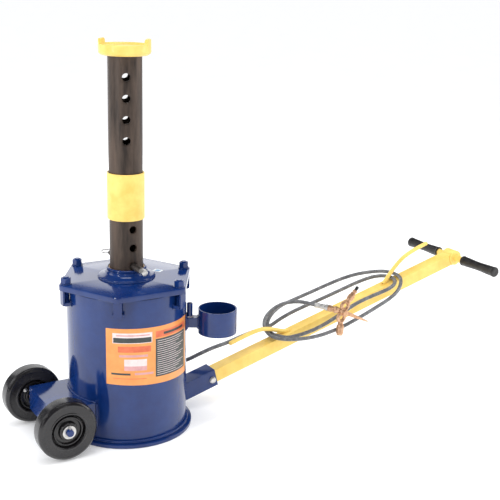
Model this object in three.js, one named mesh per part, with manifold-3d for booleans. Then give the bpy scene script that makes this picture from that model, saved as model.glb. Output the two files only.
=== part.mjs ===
// Wheeled air lift jack: an air cylinder that stands on its base plate, with a pinned ram,
// a lift-off extension and saddle, two transport wheels and a tow handle that carries the hose.
// Millimetres, +Z up. The origin is on the floor, on the barrel's axis.
// +X is the side of the handle, -X the side of the wheels, and the axle lies along Y.
import * as THREE from 'three';
import { mergeVertices } from 'three/addons/utils/BufferGeometryUtils.js';
import Module from 'manifold-3d';

const wasm = await Module();
wasm.setup();

// ---------------------------------------------------------------- driving dimensions
const GAP = 0.3;                    // left between pieces that touch
const FINE = 40;                    // sides of the large rounds
const ROUND = 24;                   // sides of the middle rounds
const SMALL = 10;                   // sides of the small rounds

const BARREL_R = 161.925;           // 12 inch pipe
const BARREL_WALL = 9.525;
const BORE_R = BARREL_R - BARREL_WALL;
const BASE_R = 177.8;
const BASE_T = 10;
const PLATE_R = 189;                // corner radius of the hexagonal top plate
const PLATE_T = 16;
const PLATE_TOP = 425;
const PLATE_BOTTOM = PLATE_TOP - PLATE_T;
const GASKET_T = 1.5;
const PLATE_TURN = THREE.MathUtils.degToRad(-2);
const BOLT_CIRCLE_R = 171;
const BOLT_R = 8;
const LUG_BOTTOM = 368;
const BARE_CORNER = 4;              // the front corner of the top plate has no stud
const STUD_CORNERS = [0, 1, 2, 3, 4, 5].filter((k) => k !== BARE_CORNER);

const RAM_R = 44.45;                // 3 1/2 inch tube
const RAM_WALL = 7.6;
const RAM_BORE_R = RAM_R - RAM_WALL;
const RAM_TOP = 650;
const PISTON_BOTTOM = 62;
const PISTON_TOP = 90;
const SPIGOT_TOP = 130;
const HOLE_R = 10.3;
const RAM_HOLE_TOP = 562.8;
const RAM_HOLE_STEP = 50;
const RAM_HOLES = 9;
const BUSHING_R = 48;
const HUB_TOP = 454;

const EXTENSION_TOP = 1012;
const EXTENSION_HOLE_TOP = 960;
const EXTENSION_HOLE_STEP = 54;
const EXTENSION_HOLES = 4;
const EXTENSION_TURN = THREE.MathUtils.degToRad(-20.6);
const COLLAR_R = 49.6;
const COLLAR_BOTTOM = 587;
const COLLAR_TOP = 711;
const SADDLE_R = 67.5;
const SADDLE_TOP = 1040;
const SADDLE_LUG = 13;
const SADDLE_TURN = THREE.MathUtils.degToRad(-32);

const PIN_R = 8.9;
const PIN_Z = HUB_TOP + GAP + PIN_R;
const PIN_TIP_START = -93;
const PIN_TIP_END = -114;
const PIN_END = 108;
const RING_R = 19;
const RING_WIRE_R = 1.7;
const RING_Y = 121;

const AXLE_X = -233;
const AXLE_Z = 82.4;
const AXLE_R = 9.5;
const AXLE_END = 163;
const WHEEL_R = 79.4;
const WHEEL_IN = 102.2;
const WHEEL_OUT = 151;
const BRACKET_X = -251;
const BRACKET_Y = 93;
const BRACKET_TOP = 118;
const BRACKET_BOTTOM = 51;
const BRACKET_T = 6;

const HANDLE_Z = 12.5;              // height of the handle's axis where it crosses the barrel's axis
const HANDLE_RISE = Math.atan(0.263);
const TUBE_SIDE = 38.1;
const TUBE_WALL = 3;
const SOCKET_SIDE = 50.8;
const SOCKET_WALL = 5;
const SOCKET_END = 280;
const SOCKET_BOLT_S = 266;
const BAR_S = 1224;                 // crossbar's place along the handle
const BAR_R = 11.1;
const BAR_HALF = 196;
const BOSS_R = 24;
const BOSS_HALF = 22;
const GRIP_R = 15.5;
const GRIP_IN = 58;
const GRIP_OUT = 203.6;
const HOOK_R = 6.35;

const CUP_TURN = THREE.MathUtils.degToRad(-30);
const CUP_CENTRE_R = 247;
const CUP_R = 53.3;
const CUP_WALL = 3.6;
const CUP_BOTTOM = 268;
const CUP_TOP = 337;
const ARM_Z = 297;
const ARM_WIDE = 28;
const ARM_HIGH = 28;
const STUB_R = 8;
const STUB_TOP = 350;

const HOSE_R = 5.8;
const ELBOW_REACH = 26;             // from the elbow's corner to the end of the hose
const VALVE_REACH = 90;             // from the other end of the hose to the middle of the valve
const BALL_R = 11;
const EYE_R = 12;
const EYE_TUBE_R = 5.4;
const UPPER_EYE = [12, 0, 14];      // from the middle of the valve, in the handle's axes
const LOWER_EYE = [-9, 0, -17];
const PLUG_WAY = [57, 0, 40];
const KNOB_WAY = [-20, -5, -50];
const LEVER_WAY = [77, 0, -66];
const LEVER_LONG = 98;

// ---------------------------------------------------------------- materials
function material(color, roughness, metalness) {
  return new THREE.MeshStandardMaterial({ color, roughness, metalness });
}
const bluePaint = material(0x2f4a8c, 0.28, 0.1);
const yellowPaint = material(0xf2cf5b, 0.4, 0.05);
const millSteel = material(0x5a504a, 0.5, 0.7);
const zinc = material(0xc9ccd0, 0.35, 0.9);
const brass = material(0xc79a63, 0.35, 0.9);
const bronze = material(0xa97c4a, 0.45, 0.8);
const blackRubber = material(0x1b1b1d, 0.6, 0);
const greyRubber = material(0x85868a, 0.55, 0);

// ---------------------------------------------------------------- geometry helpers
const group = new THREE.Group();
const handle = new THREE.Group();   // its X runs along the handle, its Z is square to the handle
handle.position.set(0, 0, HANDLE_Z);
handle.rotation.y = -HANDLE_RISE;
group.add(handle);

function place(parent, name, geometry, finish) {
  const mesh = new THREE.Mesh(geometry, finish);
  mesh.name = name;
  parent.add(mesh);
  return mesh;
}

function manifoldOf(geometry) {
  const bare = geometry.clone();
  bare.deleteAttribute('normal');
  bare.deleteAttribute('uv');
  const merged = mergeVertices(bare, 1e-4);
  const source = merged.index.array;
  const kept = [];
  for (let i = 0; i < source.length; i += 3) {
    const [a, b, c] = [source[i], source[i + 1], source[i + 2]];
    if (a !== b && b !== c && c !== a) kept.push(a, b, c);
  }
  return new wasm.Manifold(new wasm.Mesh({
    numProp: 3,
    vertProperties: new Float32Array(merged.attributes.position.array),
    triVerts: new Uint32Array(kept),
  }));
}

function geometryOf(manifold) {
  const mesh = manifold.getMesh();
  const geometry = new THREE.BufferGeometry();
  geometry.setAttribute('position', new THREE.BufferAttribute(new Float32Array(mesh.vertProperties), 3));
  geometry.setIndex(new THREE.BufferAttribute(new Uint32Array(mesh.triVerts), 1));
  return geometry;
}

function cut(geometry, tools) {
  let body = manifoldOf(geometry);
  for (const tool of tools) body = body.subtract(manifoldOf(tool));
  return geometryOf(body);
}

function join(geometries) {
  let body = manifoldOf(geometries[0]);
  for (const other of geometries.slice(1)) body = body.add(manifoldOf(other));
  return geometryOf(body);
}

// A turned solid about Z. The profile is a closed outline of [radius, height] pairs, counter-clockwise.
function turned(profile, sides, closed = true) {
  const points = profile.map(([r, z]) => new THREE.Vector2(r, z));
  if (closed) points.push(points[0].clone());
  return new THREE.LatheGeometry(points, sides).rotateX(Math.PI / 2);
}

function cylinder(radius, from, to, sides, axis = 'z') {
  const geometry = new THREE.CylinderGeometry(radius, radius, to - from, sides);
  geometry.translate(0, (from + to) / 2, 0);
  if (axis === 'z') geometry.rotateX(Math.PI / 2);
  if (axis === 'x') geometry.rotateZ(-Math.PI / 2);
  return geometry;
}

function box(x0, x1, y0, y1, z0, z1) {
  const geometry = new THREE.BoxGeometry(x1 - x0, y1 - y0, z1 - z0);
  return geometry.translate((x0 + x1) / 2, (y0 + y1) / 2, (z0 + z1) / 2);
}

function circleShape(radius, sides) {
  const shape = new THREE.Shape();
  for (let i = 0; i < sides; i += 1) {
    const turn = (i / sides) * 2 * Math.PI;
    const [x, y] = [radius * Math.cos(turn), radius * Math.sin(turn)];
    if (i === 0) shape.moveTo(x, y);
    else shape.lineTo(x, y);
  }
  shape.closePath();
  return shape;
}

function rod(curve, radius, sides, steps) {
  const options = { steps, extrudePath: curve, bevelEnabled: false };
  return new THREE.ExtrudeGeometry(circleShape(radius, sides), options);
}

function polygonPrism(points, depth) {
  const shape = new THREE.Shape(points.map(([x, y]) => new THREE.Vector2(x, y)));
  return new THREE.ExtrudeGeometry(shape, { depth, bevelEnabled: false });
}

// A cylinder or hexagon from one point to another.
function bar(from, to, radius, sides) {
  const start = new THREE.Vector3(...from);
  const span = new THREE.Vector3(...to).sub(start);
  const geometry = new THREE.CylinderGeometry(radius, radius, span.length(), sides);
  geometry.translate(0, span.length() / 2, 0);
  const turn = new THREE.Quaternion().setFromUnitVectors(new THREE.Vector3(0, 1, 0), span.clone().normalize());
  geometry.applyQuaternion(turn);
  return geometry.translate(start.x, start.y, start.z);
}

// ---------------------------------------------------------------- hose route
// Points of the hose's route in the handle's own axes: along it, across it, square to it.
const HOSE_ROUTE = [
  [144, 136, 4], [152, 131.5, 17], [165, 122, 28.5], [185, 106, 36.5], [210, 85, 40], [240, 61, 45],
  [277, 40, 57], [314, 26, 64], [358, 16, 65], [407, 14.5, 64], [450, 18, 59], [484, 31.5, 47],
  [498, 42.5, 38.5], [516, 50, 32.5], [537, 54, 31], [568, 55, 35.5], [605, 56.5, 38], [647, 57.5, 38],
  [727, 60, 34], [807, 61, 32], [870, 61, 31], [919, 55.5, 30], [945, 47, 28.5], [964, 28, 27.5],
  [971, 3, 27], [964, -23, 26.5], [945, -42, 25.8], [919, -49, 25], [880, -47.5, 25], [850, -44, 25],
  [793, -37, 21], [720, -36, 10], [660, -36, 4], [605, -37, 6], [560, -36.5, 13], [534, -33, 18.5],
  [514.5, -19, 26.8], [505, -1, 31], [503.5, 18, 36.5], [510.5, 36, 43.5], [525.5, 53, 49.5],
  [548, 69, 54], [577, 82, 57], [612, 95, 54.5], [664, 104, 49], [724, 108, 45], [790, 109, 43],
  [850, 107, 41], [905, 99, 37], [952, 80, 32], [981, 54, 29.5], [993, 25, 27.5], [993, -3, 26.8],
  [984, -28, 25], [965, -49, 20], [938, -65, 13], [899, -75, 8], [850, -80, 5], [771, -84, 1],
  [694, -83, -2], [622, -77, 2], [566, -67, 12], [524, -47, 22], [505, -30, 28], [493.5, -12.5, 34],
  [490, 5, 42.5], [493.5, 22, 53], [506, 38, 63.5], [526, 48, 73], [552, 52, 80], [579, 52, 82.5],
  [602, 45.5, 82.5], [620, 33, 81.5], [633.5, 17, 80.2], [644.5, -3, 77.6], [656, -22, 73.2],
];
const hoseCurve = new THREE.CatmullRomCurve3(HOSE_ROUTE.map((point) => new THREE.Vector3(...point)));
hoseCurve.arcLengthDivisions = 2000;

// Where the elbow that feeds the barrel turns, in the jack's own axes.
function inletCorner() {
  handle.updateMatrixWorld(true);
  const corner = hoseCurve.getPointAt(0).addScaledVector(hoseCurve.getTangentAt(0), -ELBOW_REACH);
  return corner.applyMatrix4(handle.matrixWorld);
}

// ---------------------------------------------------------------- air cylinder
function makeBarrel() {
  place(group, 'base_plate', turned([
    [0, 0], [BASE_R - 1, 0], [BASE_R, 1], [BASE_R, BASE_T - 1], [BASE_R - 1, BASE_T], [0, BASE_T],
  ], FINE, false), bluePaint);
  const foot = BASE_T + GAP;
  const weld = 8;
  const top = PLATE_BOTTOM - GASKET_T - 2 * GAP;
  const wall = turned([
    [BORE_R, foot], [BARREL_R + weld, foot], [BARREL_R, foot + weld], [BARREL_R, top], [BORE_R, top],
  ], FINE);
  const corner = inletCorner();
  const port = cylinder(7, BORE_R - 5, BARREL_R + 5, SMALL, 'x').rotateZ(Math.atan2(corner.y, corner.x));
  port.translate(0, 0, corner.z);
  place(group, 'barrel', cut(wall, [port]), bluePaint);
  place(group, 'plate_gasket', turned([
    [BORE_R, top + GAP], [BARREL_R, top + GAP], [BARREL_R, top + GAP + GASKET_T], [BORE_R, top + GAP + GASKET_T],
  ], FINE), blackRubber);
}

function makeTopPlate() {
  const corners = [];
  for (let k = 0; k < 6; k += 1) {
    const turn = PLATE_TURN + (k * Math.PI) / 3;
    const blunt = THREE.MathUtils.degToRad(0.9);
    corners.push([PLATE_R * Math.cos(turn - blunt), PLATE_R * Math.sin(turn - blunt)]);
    corners.push([PLATE_R * Math.cos(turn + blunt), PLATE_R * Math.sin(turn + blunt)]);
  }
  const slab = polygonPrism(corners, PLATE_T).translate(0, 0, PLATE_BOTTOM);
  const holes = [cylinder(BUSHING_R + 0.4, PLATE_BOTTOM - 1, PLATE_TOP + 1, FINE)];
  for (const k of STUD_CORNERS) {
    const hole = cylinder(BOLT_R + 0.6, PLATE_BOTTOM - 1, PLATE_TOP + 1, SMALL);
    holes.push(hole.translate(BOLT_CIRCLE_R, 0, 0).rotateZ(PLATE_TURN + (k * Math.PI) / 3));
  }
  place(group, 'top_plate', cut(slab, holes), bluePaint);
}

// Under each plate corner a tab stands off the barrel, and a web on its outer edge reaches up to the plate.
// The stud runs down behind the web and screws into the tab.
function makeLugs() {
  const inner = BARREL_R + GAP + 0.1;
  const web = BOLT_CIRCLE_R + BOLT_R + GAP;
  const outer = web + 4.7;
  const tab = box(inner, web + 1, -15, 15, LUG_BOTTOM, LUG_BOTTOM + 9);
  const plate = box(web, outer, -11, 11, LUG_BOTTOM, PLATE_BOTTOM - GAP);
  const tapped = cylinder(BOLT_R + GAP, LUG_BOTTOM - 5, LUG_BOTTOM + 12, SMALL).translate(BOLT_CIRCLE_R, 0, 0);
  const blank = join([tab, plate]);
  const drilled = cut(blank, [tapped]);
  for (let k = 0; k < 6; k += 1) {
    const lug = k === BARE_CORNER ? blank : drilled;
    place(group, `plate_lug_${k + 1}`, lug, bluePaint).rotation.z = PLATE_TURN + (k * Math.PI) / 3;
  }
}

// Stud with its washer and tall nut.
function makePlateBolts() {
  const seat = PLATE_TOP + GAP;
  const washerTop = seat + 2.7;
  const nutTop = seat + 18;
  const tip = seat + 20.5;
  const foot = LUG_BOTTOM + 2;
  const hexCorner = 13.9;
  const stud = turned([
    [0, foot], [BOLT_R, foot], [BOLT_R, seat], [15, seat], [15, washerTop], [12, washerTop],
    [12, nutTop - 1], [BOLT_R, nutTop], [BOLT_R, tip - 2], [6, tip], [0, tip],
  ], SMALL, false);
  const bolt = join([stud, cylinder(hexCorner, washerTop - 0.5, nutTop - 1, 6)]).translate(BOLT_CIRCLE_R, 0, 0);
  for (const k of STUD_CORNERS) {
    place(group, `plate_bolt_${k + 1}`, bolt, bluePaint).rotation.z = PLATE_TURN + (k * Math.PI) / 3;
  }
}

function makeHub() {
  const seat = PLATE_TOP + GAP;
  const inner = BUSHING_R + GAP;
  place(group, 'ram_hub', turned([
    [inner, seat], [74, seat], [75.5, seat + 3], [74, seat + 6], [66, seat + 9.5], [57.5, seat + 13],
    [54.5, seat + 17], [53.5, seat + 19], [53.5, HUB_TOP - 1.5], [52, HUB_TOP], [inner, HUB_TOP],
  ], ROUND), bluePaint);
  const clear = RAM_R + 0.35;
  place(group, 'guide_bushing', turned([
    [clear, PLATE_BOTTOM + 1], [BUSHING_R, PLATE_BOTTOM + 1], [BUSHING_R, HUB_TOP - 1], [clear, HUB_TOP - 1],
  ], ROUND), bronze);
}

// ---------------------------------------------------------------- ram, extension and saddle
function makeRam() {
  const tube = turned([
    [RAM_BORE_R, PISTON_TOP + GAP], [RAM_R, PISTON_TOP + GAP], [RAM_R, RAM_TOP], [RAM_BORE_R, RAM_TOP],
  ], ROUND);
  const holes = [];
  for (let k = 0; k < RAM_HOLES; k += 1) {
    const z = RAM_HOLE_TOP - k * RAM_HOLE_STEP;
    holes.push(cylinder(HOLE_R, -RAM_R - 5, RAM_R + 5, SMALL, 'y').translate(0, 0, z));
  }
  place(group, 'ram_tube', cut(tube, holes), millSteel);
  place(group, 'piston', turned([
    [0, PISTON_BOTTOM], [BORE_R - 0.6, PISTON_BOTTOM], [BORE_R - 0.6, PISTON_TOP], [RAM_BORE_R - 0.4, PISTON_TOP],
    [RAM_BORE_R - 0.4, SPIGOT_TOP], [0, SPIGOT_TOP],
  ], FINE, false), millSteel);
  const cupTop = PISTON_BOTTOM - GAP;
  place(group, 'piston_cup', turned([
    [0, cupTop - 6], [BORE_R - 12, cupTop - 6], [BORE_R - 4, cupTop - 10], [BORE_R - 0.4, cupTop - 10],
    [BORE_R - 0.4, cupTop], [0, cupTop],
  ], FINE, false), blackRubber);
}

function makeExtension() {
  const tube = turned([
    [RAM_BORE_R, RAM_TOP + GAP], [RAM_R, RAM_TOP + GAP], [RAM_R, EXTENSION_TOP], [RAM_BORE_R, EXTENSION_TOP],
  ], ROUND);
  const holes = [];
  for (let k = 0; k < EXTENSION_HOLES; k += 1) {
    const z = EXTENSION_HOLE_TOP - k * EXTENSION_HOLE_STEP;
    const hole = cylinder(HOLE_R, -RAM_R - 5, RAM_R + 5, SMALL, 'y').rotateZ(EXTENSION_TURN);
    holes.push(hole.translate(0, 0, z));
  }
  place(group, 'ram_extension', cut(tube, holes), millSteel);
  place(group, 'extension_collar', turned([
    [RAM_R + GAP, COLLAR_BOTTOM], [COLLAR_R, COLLAR_BOTTOM], [COLLAR_R, COLLAR_TOP], [RAM_R + GAP, COLLAR_TOP],
  ], ROUND), yellowPaint);
}

// Dished disc on a stem, with two raised lugs that keep a load from sliding off.
function makeSaddle() {
  const seat = EXTENSION_TOP + GAP;
  const stem = RAM_BORE_R - 0.4;
  const disc = turned([
    [0, seat - 32], [stem, seat - 32], [stem, seat], [60, seat], [SADDLE_R - 1, seat + 5], [SADDLE_R, seat + 9],
    [SADDLE_R, SADDLE_TOP - 3], [SADDLE_R - 3, SADDLE_TOP], [SADDLE_R - 11, SADDLE_TOP],
    [SADDLE_R - 15, SADDLE_TOP - 5], [0, SADDLE_TOP - 5],
  ], ROUND, false);
  const lugs = [];
  for (const side of [0, Math.PI]) {
    const arc = THREE.MathUtils.degToRad(44);
    const shape = new THREE.Shape();
    shape.absarc(0, 0, SADDLE_R - 0.6, -arc / 2, arc / 2, false);
    shape.absarc(0, 0, SADDLE_R - 10.5, arc / 2, -arc / 2, true);
    const options = { depth: SADDLE_LUG + 4, bevelEnabled: false, curveSegments: 4 };
    const lug = new THREE.ExtrudeGeometry(shape, options);
    lugs.push(lug.translate(0, 0, SADDLE_TOP - 4).rotateZ(SADDLE_TURN + side));
  }
  place(group, 'saddle', join([disc, ...lugs]), yellowPaint);
}

function makeLockPin() {
  const shank = cylinder(PIN_R, PIN_TIP_START, PIN_END, SMALL + 8, 'y');
  const tip = cylinder(9.3, PIN_TIP_END, PIN_TIP_START + 1, 6, 'y').rotateY(Math.PI / 6);
  const eye = box(-PIN_R - 1, PIN_R + 1, RING_Y - RING_R - 2.4, RING_Y - RING_R + 4.4, -2.2, 2.2);
  const pin = cut(join([shank, tip]), [eye]);
  place(group, 'lock_pin', pin, millSteel).position.z = PIN_Z;
  const ring = new THREE.TorusGeometry(RING_R, RING_WIRE_R, 6, 24);
  place(group, 'pull_ring', ring, zinc).position.set(0, RING_Y, PIN_Z);
}

// ---------------------------------------------------------------- wheels
function makeWheelBracket() {
  const reach = -120;
  const top = box(BRACKET_X, reach, -BRACKET_Y, BRACKET_Y, BRACKET_TOP - BRACKET_T, BRACKET_TOP);
  const end = box(BRACKET_X, BRACKET_X + BRACKET_T, -BRACKET_Y, BRACKET_Y, BRACKET_BOTTOM, BRACKET_TOP - 1);
  const ears = [-1, 1].map((side) => {
    const y0 = side > 0 ? BRACKET_Y - BRACKET_T : -BRACKET_Y;
    return box(BRACKET_X + 1, reach, y0, y0 + BRACKET_T, BRACKET_BOTTOM, BRACKET_TOP - 1);
  });
  const axleHole = cylinder(AXLE_R + GAP, -BRACKET_Y - 5, BRACKET_Y + 5, SMALL + 8, 'y');
  axleHole.translate(AXLE_X, 0, AXLE_Z);
  const barrelCut = cylinder(BARREL_R + GAP + 0.2, 0, PLATE_BOTTOM, 2 * FINE);
  place(group, 'wheel_bracket', cut(join([top, end, ...ears]), [axleHole, barrelCut]), bluePaint);
}

function makeWheels() {
  const cotterY = AXLE_END - 4.5;
  const cotterHoles = [-cotterY, cotterY].map((y) => cylinder(2.1, -12, 12, 12).translate(0, y, 0));
  const axle = cut(cylinder(AXLE_R, -AXLE_END, AXLE_END, SMALL + 8, 'y'), cotterHoles);
  place(group, 'axle', axle, bluePaint).position.set(AXLE_X, 0, AXLE_Z);
  const sides = [['near', -1], ['far', 1]];
  const bushR = 15;
  const wheelProfile = [
    [bushR + GAP, WHEEL_IN + 1], [24, WHEEL_IN + 1], [27, WHEEL_IN + 9], [41, WHEEL_IN + 9], [47.5, WHEEL_IN],
    [72, WHEEL_IN], [WHEEL_R, WHEEL_IN + 7], [WHEEL_R, WHEEL_OUT - 7], [72, WHEEL_OUT], [47.5, WHEEL_OUT],
    [41, WHEEL_OUT - 12], [27, WHEEL_OUT - 12], [24, WHEEL_OUT - 1], [bushR + GAP, WHEEL_OUT - 1],
  ];
  for (const [side, sign] of sides) {
    const turnToSide = (geometry) => geometry.rotateX(sign > 0 ? -Math.PI / 2 : Math.PI / 2);
    const hub = (name, geometry, finish) => {
      place(group, name, turnToSide(geometry), finish).position.set(AXLE_X, 0, AXLE_Z);
    };
    const nippleR = 33;
    const nippleTurn = THREE.MathUtils.degToRad(sign > 0 ? 140 : -140);
    const nippleHole = cylinder(3.4, WHEEL_IN - 4, WHEEL_IN + 14, 12).translate(nippleR, 0, 0).rotateZ(-nippleTurn);
    hub(`wheel_${side}`, cut(turned(wheelProfile, FINE), [nippleHole]), blackRubber);
    hub(`wheel_bushing_${side}`, turned([
      [AXLE_R + 0.35, WHEEL_IN + 1], [bushR, WHEEL_IN + 1], [bushR, WHEEL_OUT - 1], [AXLE_R + 0.35, WHEEL_OUT - 1],
    ], SMALL + 8), bronze);
    hub(`grease_nipple_${side}`, turned([
      [0, WHEEL_IN - 5], [2, WHEEL_IN - 5], [3.4, WHEEL_IN - 2], [3.4, WHEEL_IN], [6, WHEEL_IN + 1],
      [6, WHEEL_IN + 8.7], [3, WHEEL_IN + 8.7], [3, WHEEL_IN + 13], [0, WHEEL_IN + 13],
    ], 12, false).translate(nippleR, 0, 0).rotateZ(-nippleTurn), zinc);
    hub(`axle_washer_${side}`, turned([
      [AXLE_R + GAP, WHEEL_OUT], [18, WHEEL_OUT], [18, WHEEL_OUT + 3], [AXLE_R + GAP, WHEEL_OUT + 3],
    ], SMALL + 8), zinc);
    const pin = cylinder(1.7, -15, 17, 10);
    place(group, `cotter_pin_${side}`, pin, zinc).position.set(AXLE_X, sign * cotterY, AXLE_Z);
  }
}

// ---------------------------------------------------------------- tow handle
function makeSocket() {
  const half = SOCKET_SIDE / 2;
  const hollow = half - SOCKET_WALL;
  handle.updateMatrixWorld(true);
  const barrelCut = cylinder(BARREL_R + GAP + 0.2, -50, PLATE_BOTTOM, 2 * FINE);
  barrelCut.applyMatrix4(handle.matrixWorld.clone().invert());
  const boltHole = cylinder(5.3, -half - 5, half + 5, SMALL, 'y').translate(SOCKET_BOLT_S, 0, -2);
  const shell = box(120, SOCKET_END, -half, half, -half, half);
  const tools = [box(100, SOCKET_END + 5, -hollow, hollow, -hollow, hollow), barrelCut, boltHole];
  place(handle, 'handle_socket', cut(shell, tools), bluePaint);
  const headSide = -half - GAP;
  const bolt = join([
    cylinder(5, headSide - 1, half + 13, SMALL, 'y'),
    cylinder(9.2, headSide - 6.4, headSide, 6, 'y'),
  ]);
  place(handle, 'socket_bolt', bolt, zinc).position.set(SOCKET_BOLT_S, 0, -2);
  const nut = cut(cylinder(9.2, half + GAP, half + 8.5, 6, 'y'), [cylinder(5.3, half, half + 10, SMALL, 'y')]);
  place(handle, 'socket_nut', nut, zinc).position.set(SOCKET_BOLT_S, 0, -2);
}

function makeHandle() {
  const half = TUBE_SIDE / 2;
  const hollow = half - TUBE_WALL;
  const shell = box(186, BAR_S, -half, half, -half, half);
  const tools = [
    box(180, BAR_S + 5, -hollow, hollow, -hollow, hollow),
    cylinder(BOSS_R + GAP, -half - 5, half + 5, ROUND, 'y').translate(BAR_S, 0, 0),
    cylinder(5.4, -half - 5, half + 5, SMALL, 'y').translate(SOCKET_BOLT_S, 0, -2),
  ];
  place(handle, 'handle_tube', cut(shell, tools), yellowPaint);
  const boss = cut(
    cylinder(BOSS_R, -BOSS_HALF, BOSS_HALF, ROUND, 'y'),
    [cylinder(BAR_R + GAP, -BOSS_HALF - 5, BOSS_HALF + 5, SMALL + 8, 'y')],
  );
  place(handle, 'crossbar_boss', boss, yellowPaint).position.x = BAR_S;
  const crossbar = cylinder(BAR_R, -BAR_HALF, BAR_HALF, SMALL + 8, 'y');
  place(handle, 'crossbar', crossbar, yellowPaint).position.x = BAR_S;
  for (const [side, sign] of [['near', -1], ['far', 1]]) {
    const grip = turned([
      [BAR_R + GAP, GRIP_IN], [GRIP_R + 1, GRIP_IN], [GRIP_R + 1, GRIP_IN + 5], [GRIP_R, GRIP_IN + 8],
      [GRIP_R, GRIP_OUT - 9], [GRIP_R + 1, GRIP_OUT - 6], [GRIP_R - 1, GRIP_OUT], [0, GRIP_OUT],
      [0, BAR_HALF + GAP], [BAR_R + GAP, BAR_HALF + GAP],
    ], SMALL + 8, true);
    grip.rotateX(sign > 0 ? -Math.PI / 2 : Math.PI / 2);
    place(handle, `grip_${side}`, grip, blackRubber).position.x = BAR_S;
  }
}

// Bent rods that stand off the handle's top; the hose is wound under and round them.
function makeHooks() {
  const top = TUBE_SIDE / 2 + GAP;
  const rods = {
    hose_hook_lower: [[562, 10], [545, 22], [520, 39], [495, 54], [472, 63.5], [448, 67.5], [400, 68.5], [337, 66.5]],
    hose_hook_upper: [[925, 8], [942, 26], [970, 46], [1000, 64], [1028, 76], [1058, 82], [1096, 85.5], [1146, 87]],
  };
  for (const [name, path] of Object.entries(rods)) {
    const curve = new THREE.CatmullRomCurve3(path.map(([s, h]) => new THREE.Vector3(s, 0, h)));
    const hook = cut(rod(curve, HOOK_R, 8, 16), [box(500, 1000, -20, 20, -40, top)]);
    place(handle, name, hook, yellowPaint);
  }
}

// ---------------------------------------------------------------- storage cup
function makeStorageCup() {
  const cupGroup = new THREE.Group();
  cupGroup.rotation.z = CUP_TURN;
  group.add(cupGroup);
  const inner = CUP_R - CUP_WALL;
  const cup = turned([
    [0, CUP_BOTTOM], [CUP_R, CUP_BOTTOM], [CUP_R, CUP_TOP - 0.8], [CUP_R - 0.8, CUP_TOP], [inner + 0.8, CUP_TOP],
    [inner, CUP_TOP - 0.8], [inner, CUP_BOTTOM + CUP_WALL], [0, CUP_BOTTOM + CUP_WALL],
  ], FINE, false);
  place(cupGroup, 'storage_cup', cup, bluePaint).position.x = CUP_CENTRE_R;
  const half = ARM_WIDE / 2;
  const low = ARM_Z - ARM_HIGH / 2;
  const high = ARM_Z + ARM_HIGH / 2;
  const flare = 4;
  const beam = join([
    box(BARREL_R - 8, CUP_CENTRE_R, -half, half, low, high),
    box(BARREL_R - 8, BARREL_R + 5, -half - flare, half + flare, low - flare, high),
  ]);
  const tools = [
    cylinder(BARREL_R + GAP + 0.2, 0, PLATE_BOTTOM, 2 * FINE),
    cylinder(CUP_R + GAP, CUP_BOTTOM - 20, CUP_TOP + 20, FINE).translate(CUP_CENTRE_R, 0, 0),
  ];
  place(cupGroup, 'cup_arm', cut(beam, tools), bluePaint);
  const tube = turned([
    [0, high + GAP], [STUB_R, high + GAP], [STUB_R, STUB_TOP], [STUB_R - 2.4, STUB_TOP], [STUB_R - 2.4, high + 6],
    [0, high + 6],
  ], SMALL, false);
  place(cupGroup, 'pin_stub', tube, bluePaint).position.x = BARREL_R + STUB_R + 1;
}

// ---------------------------------------------------------------- hose and valve
class Stretch extends THREE.Curve {
  constructor(route, from, to) {
    super();
    this.route = route;
    this.from = from;
    this.to = to;
  }

  getPoint(t, target = new THREE.Vector3()) {
    return target.copy(this.route.getPointAt(this.from + t * (this.to - this.from)));
  }
}

function makeHose() {
  const length = hoseCurve.getLength();
  const middle = 0.5;
  const half = GAP / 2 / length;
  const stretches = { hose_first_turn: [0, middle - half], hose_second_turn: [middle + half, 1] };
  for (const [name, [from, to]] of Object.entries(stretches)) {
    place(handle, name, rod(new Stretch(hoseCurve, from, to), HOSE_R, 8, 64), greyRubber);
  }
}

// Street elbow: a nut against the barrel, an arm out of the port, and an arm up into the hose.
function makeInlet() {
  const corner = inletCorner();
  const outward = new THREE.Vector3(corner.x, corner.y, 0).normalize();
  const radial = (radius) => [outward.x * radius, outward.y * radius, corner.z];
  const mouth = hoseCurve.getPointAt(0).addScaledVector(hoseCurve.getTangentAt(0), -GAP);
  mouth.applyMatrix4(handle.matrixWorld);
  const elbow = join([
    bar(radial(BARREL_R - 6), corner.toArray(), 6.6, SMALL),
    new THREE.SphereGeometry(8.5, SMALL, 8).translate(corner.x, corner.y, corner.z),
    bar(corner.toArray(), mouth.toArray(), 7.6, SMALL),
    bar(radial(BARREL_R + 1), radial(BARREL_R + 12), 11, 6),
  ]);
  place(group, 'inlet_elbow', elbow, brass);
}

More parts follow.
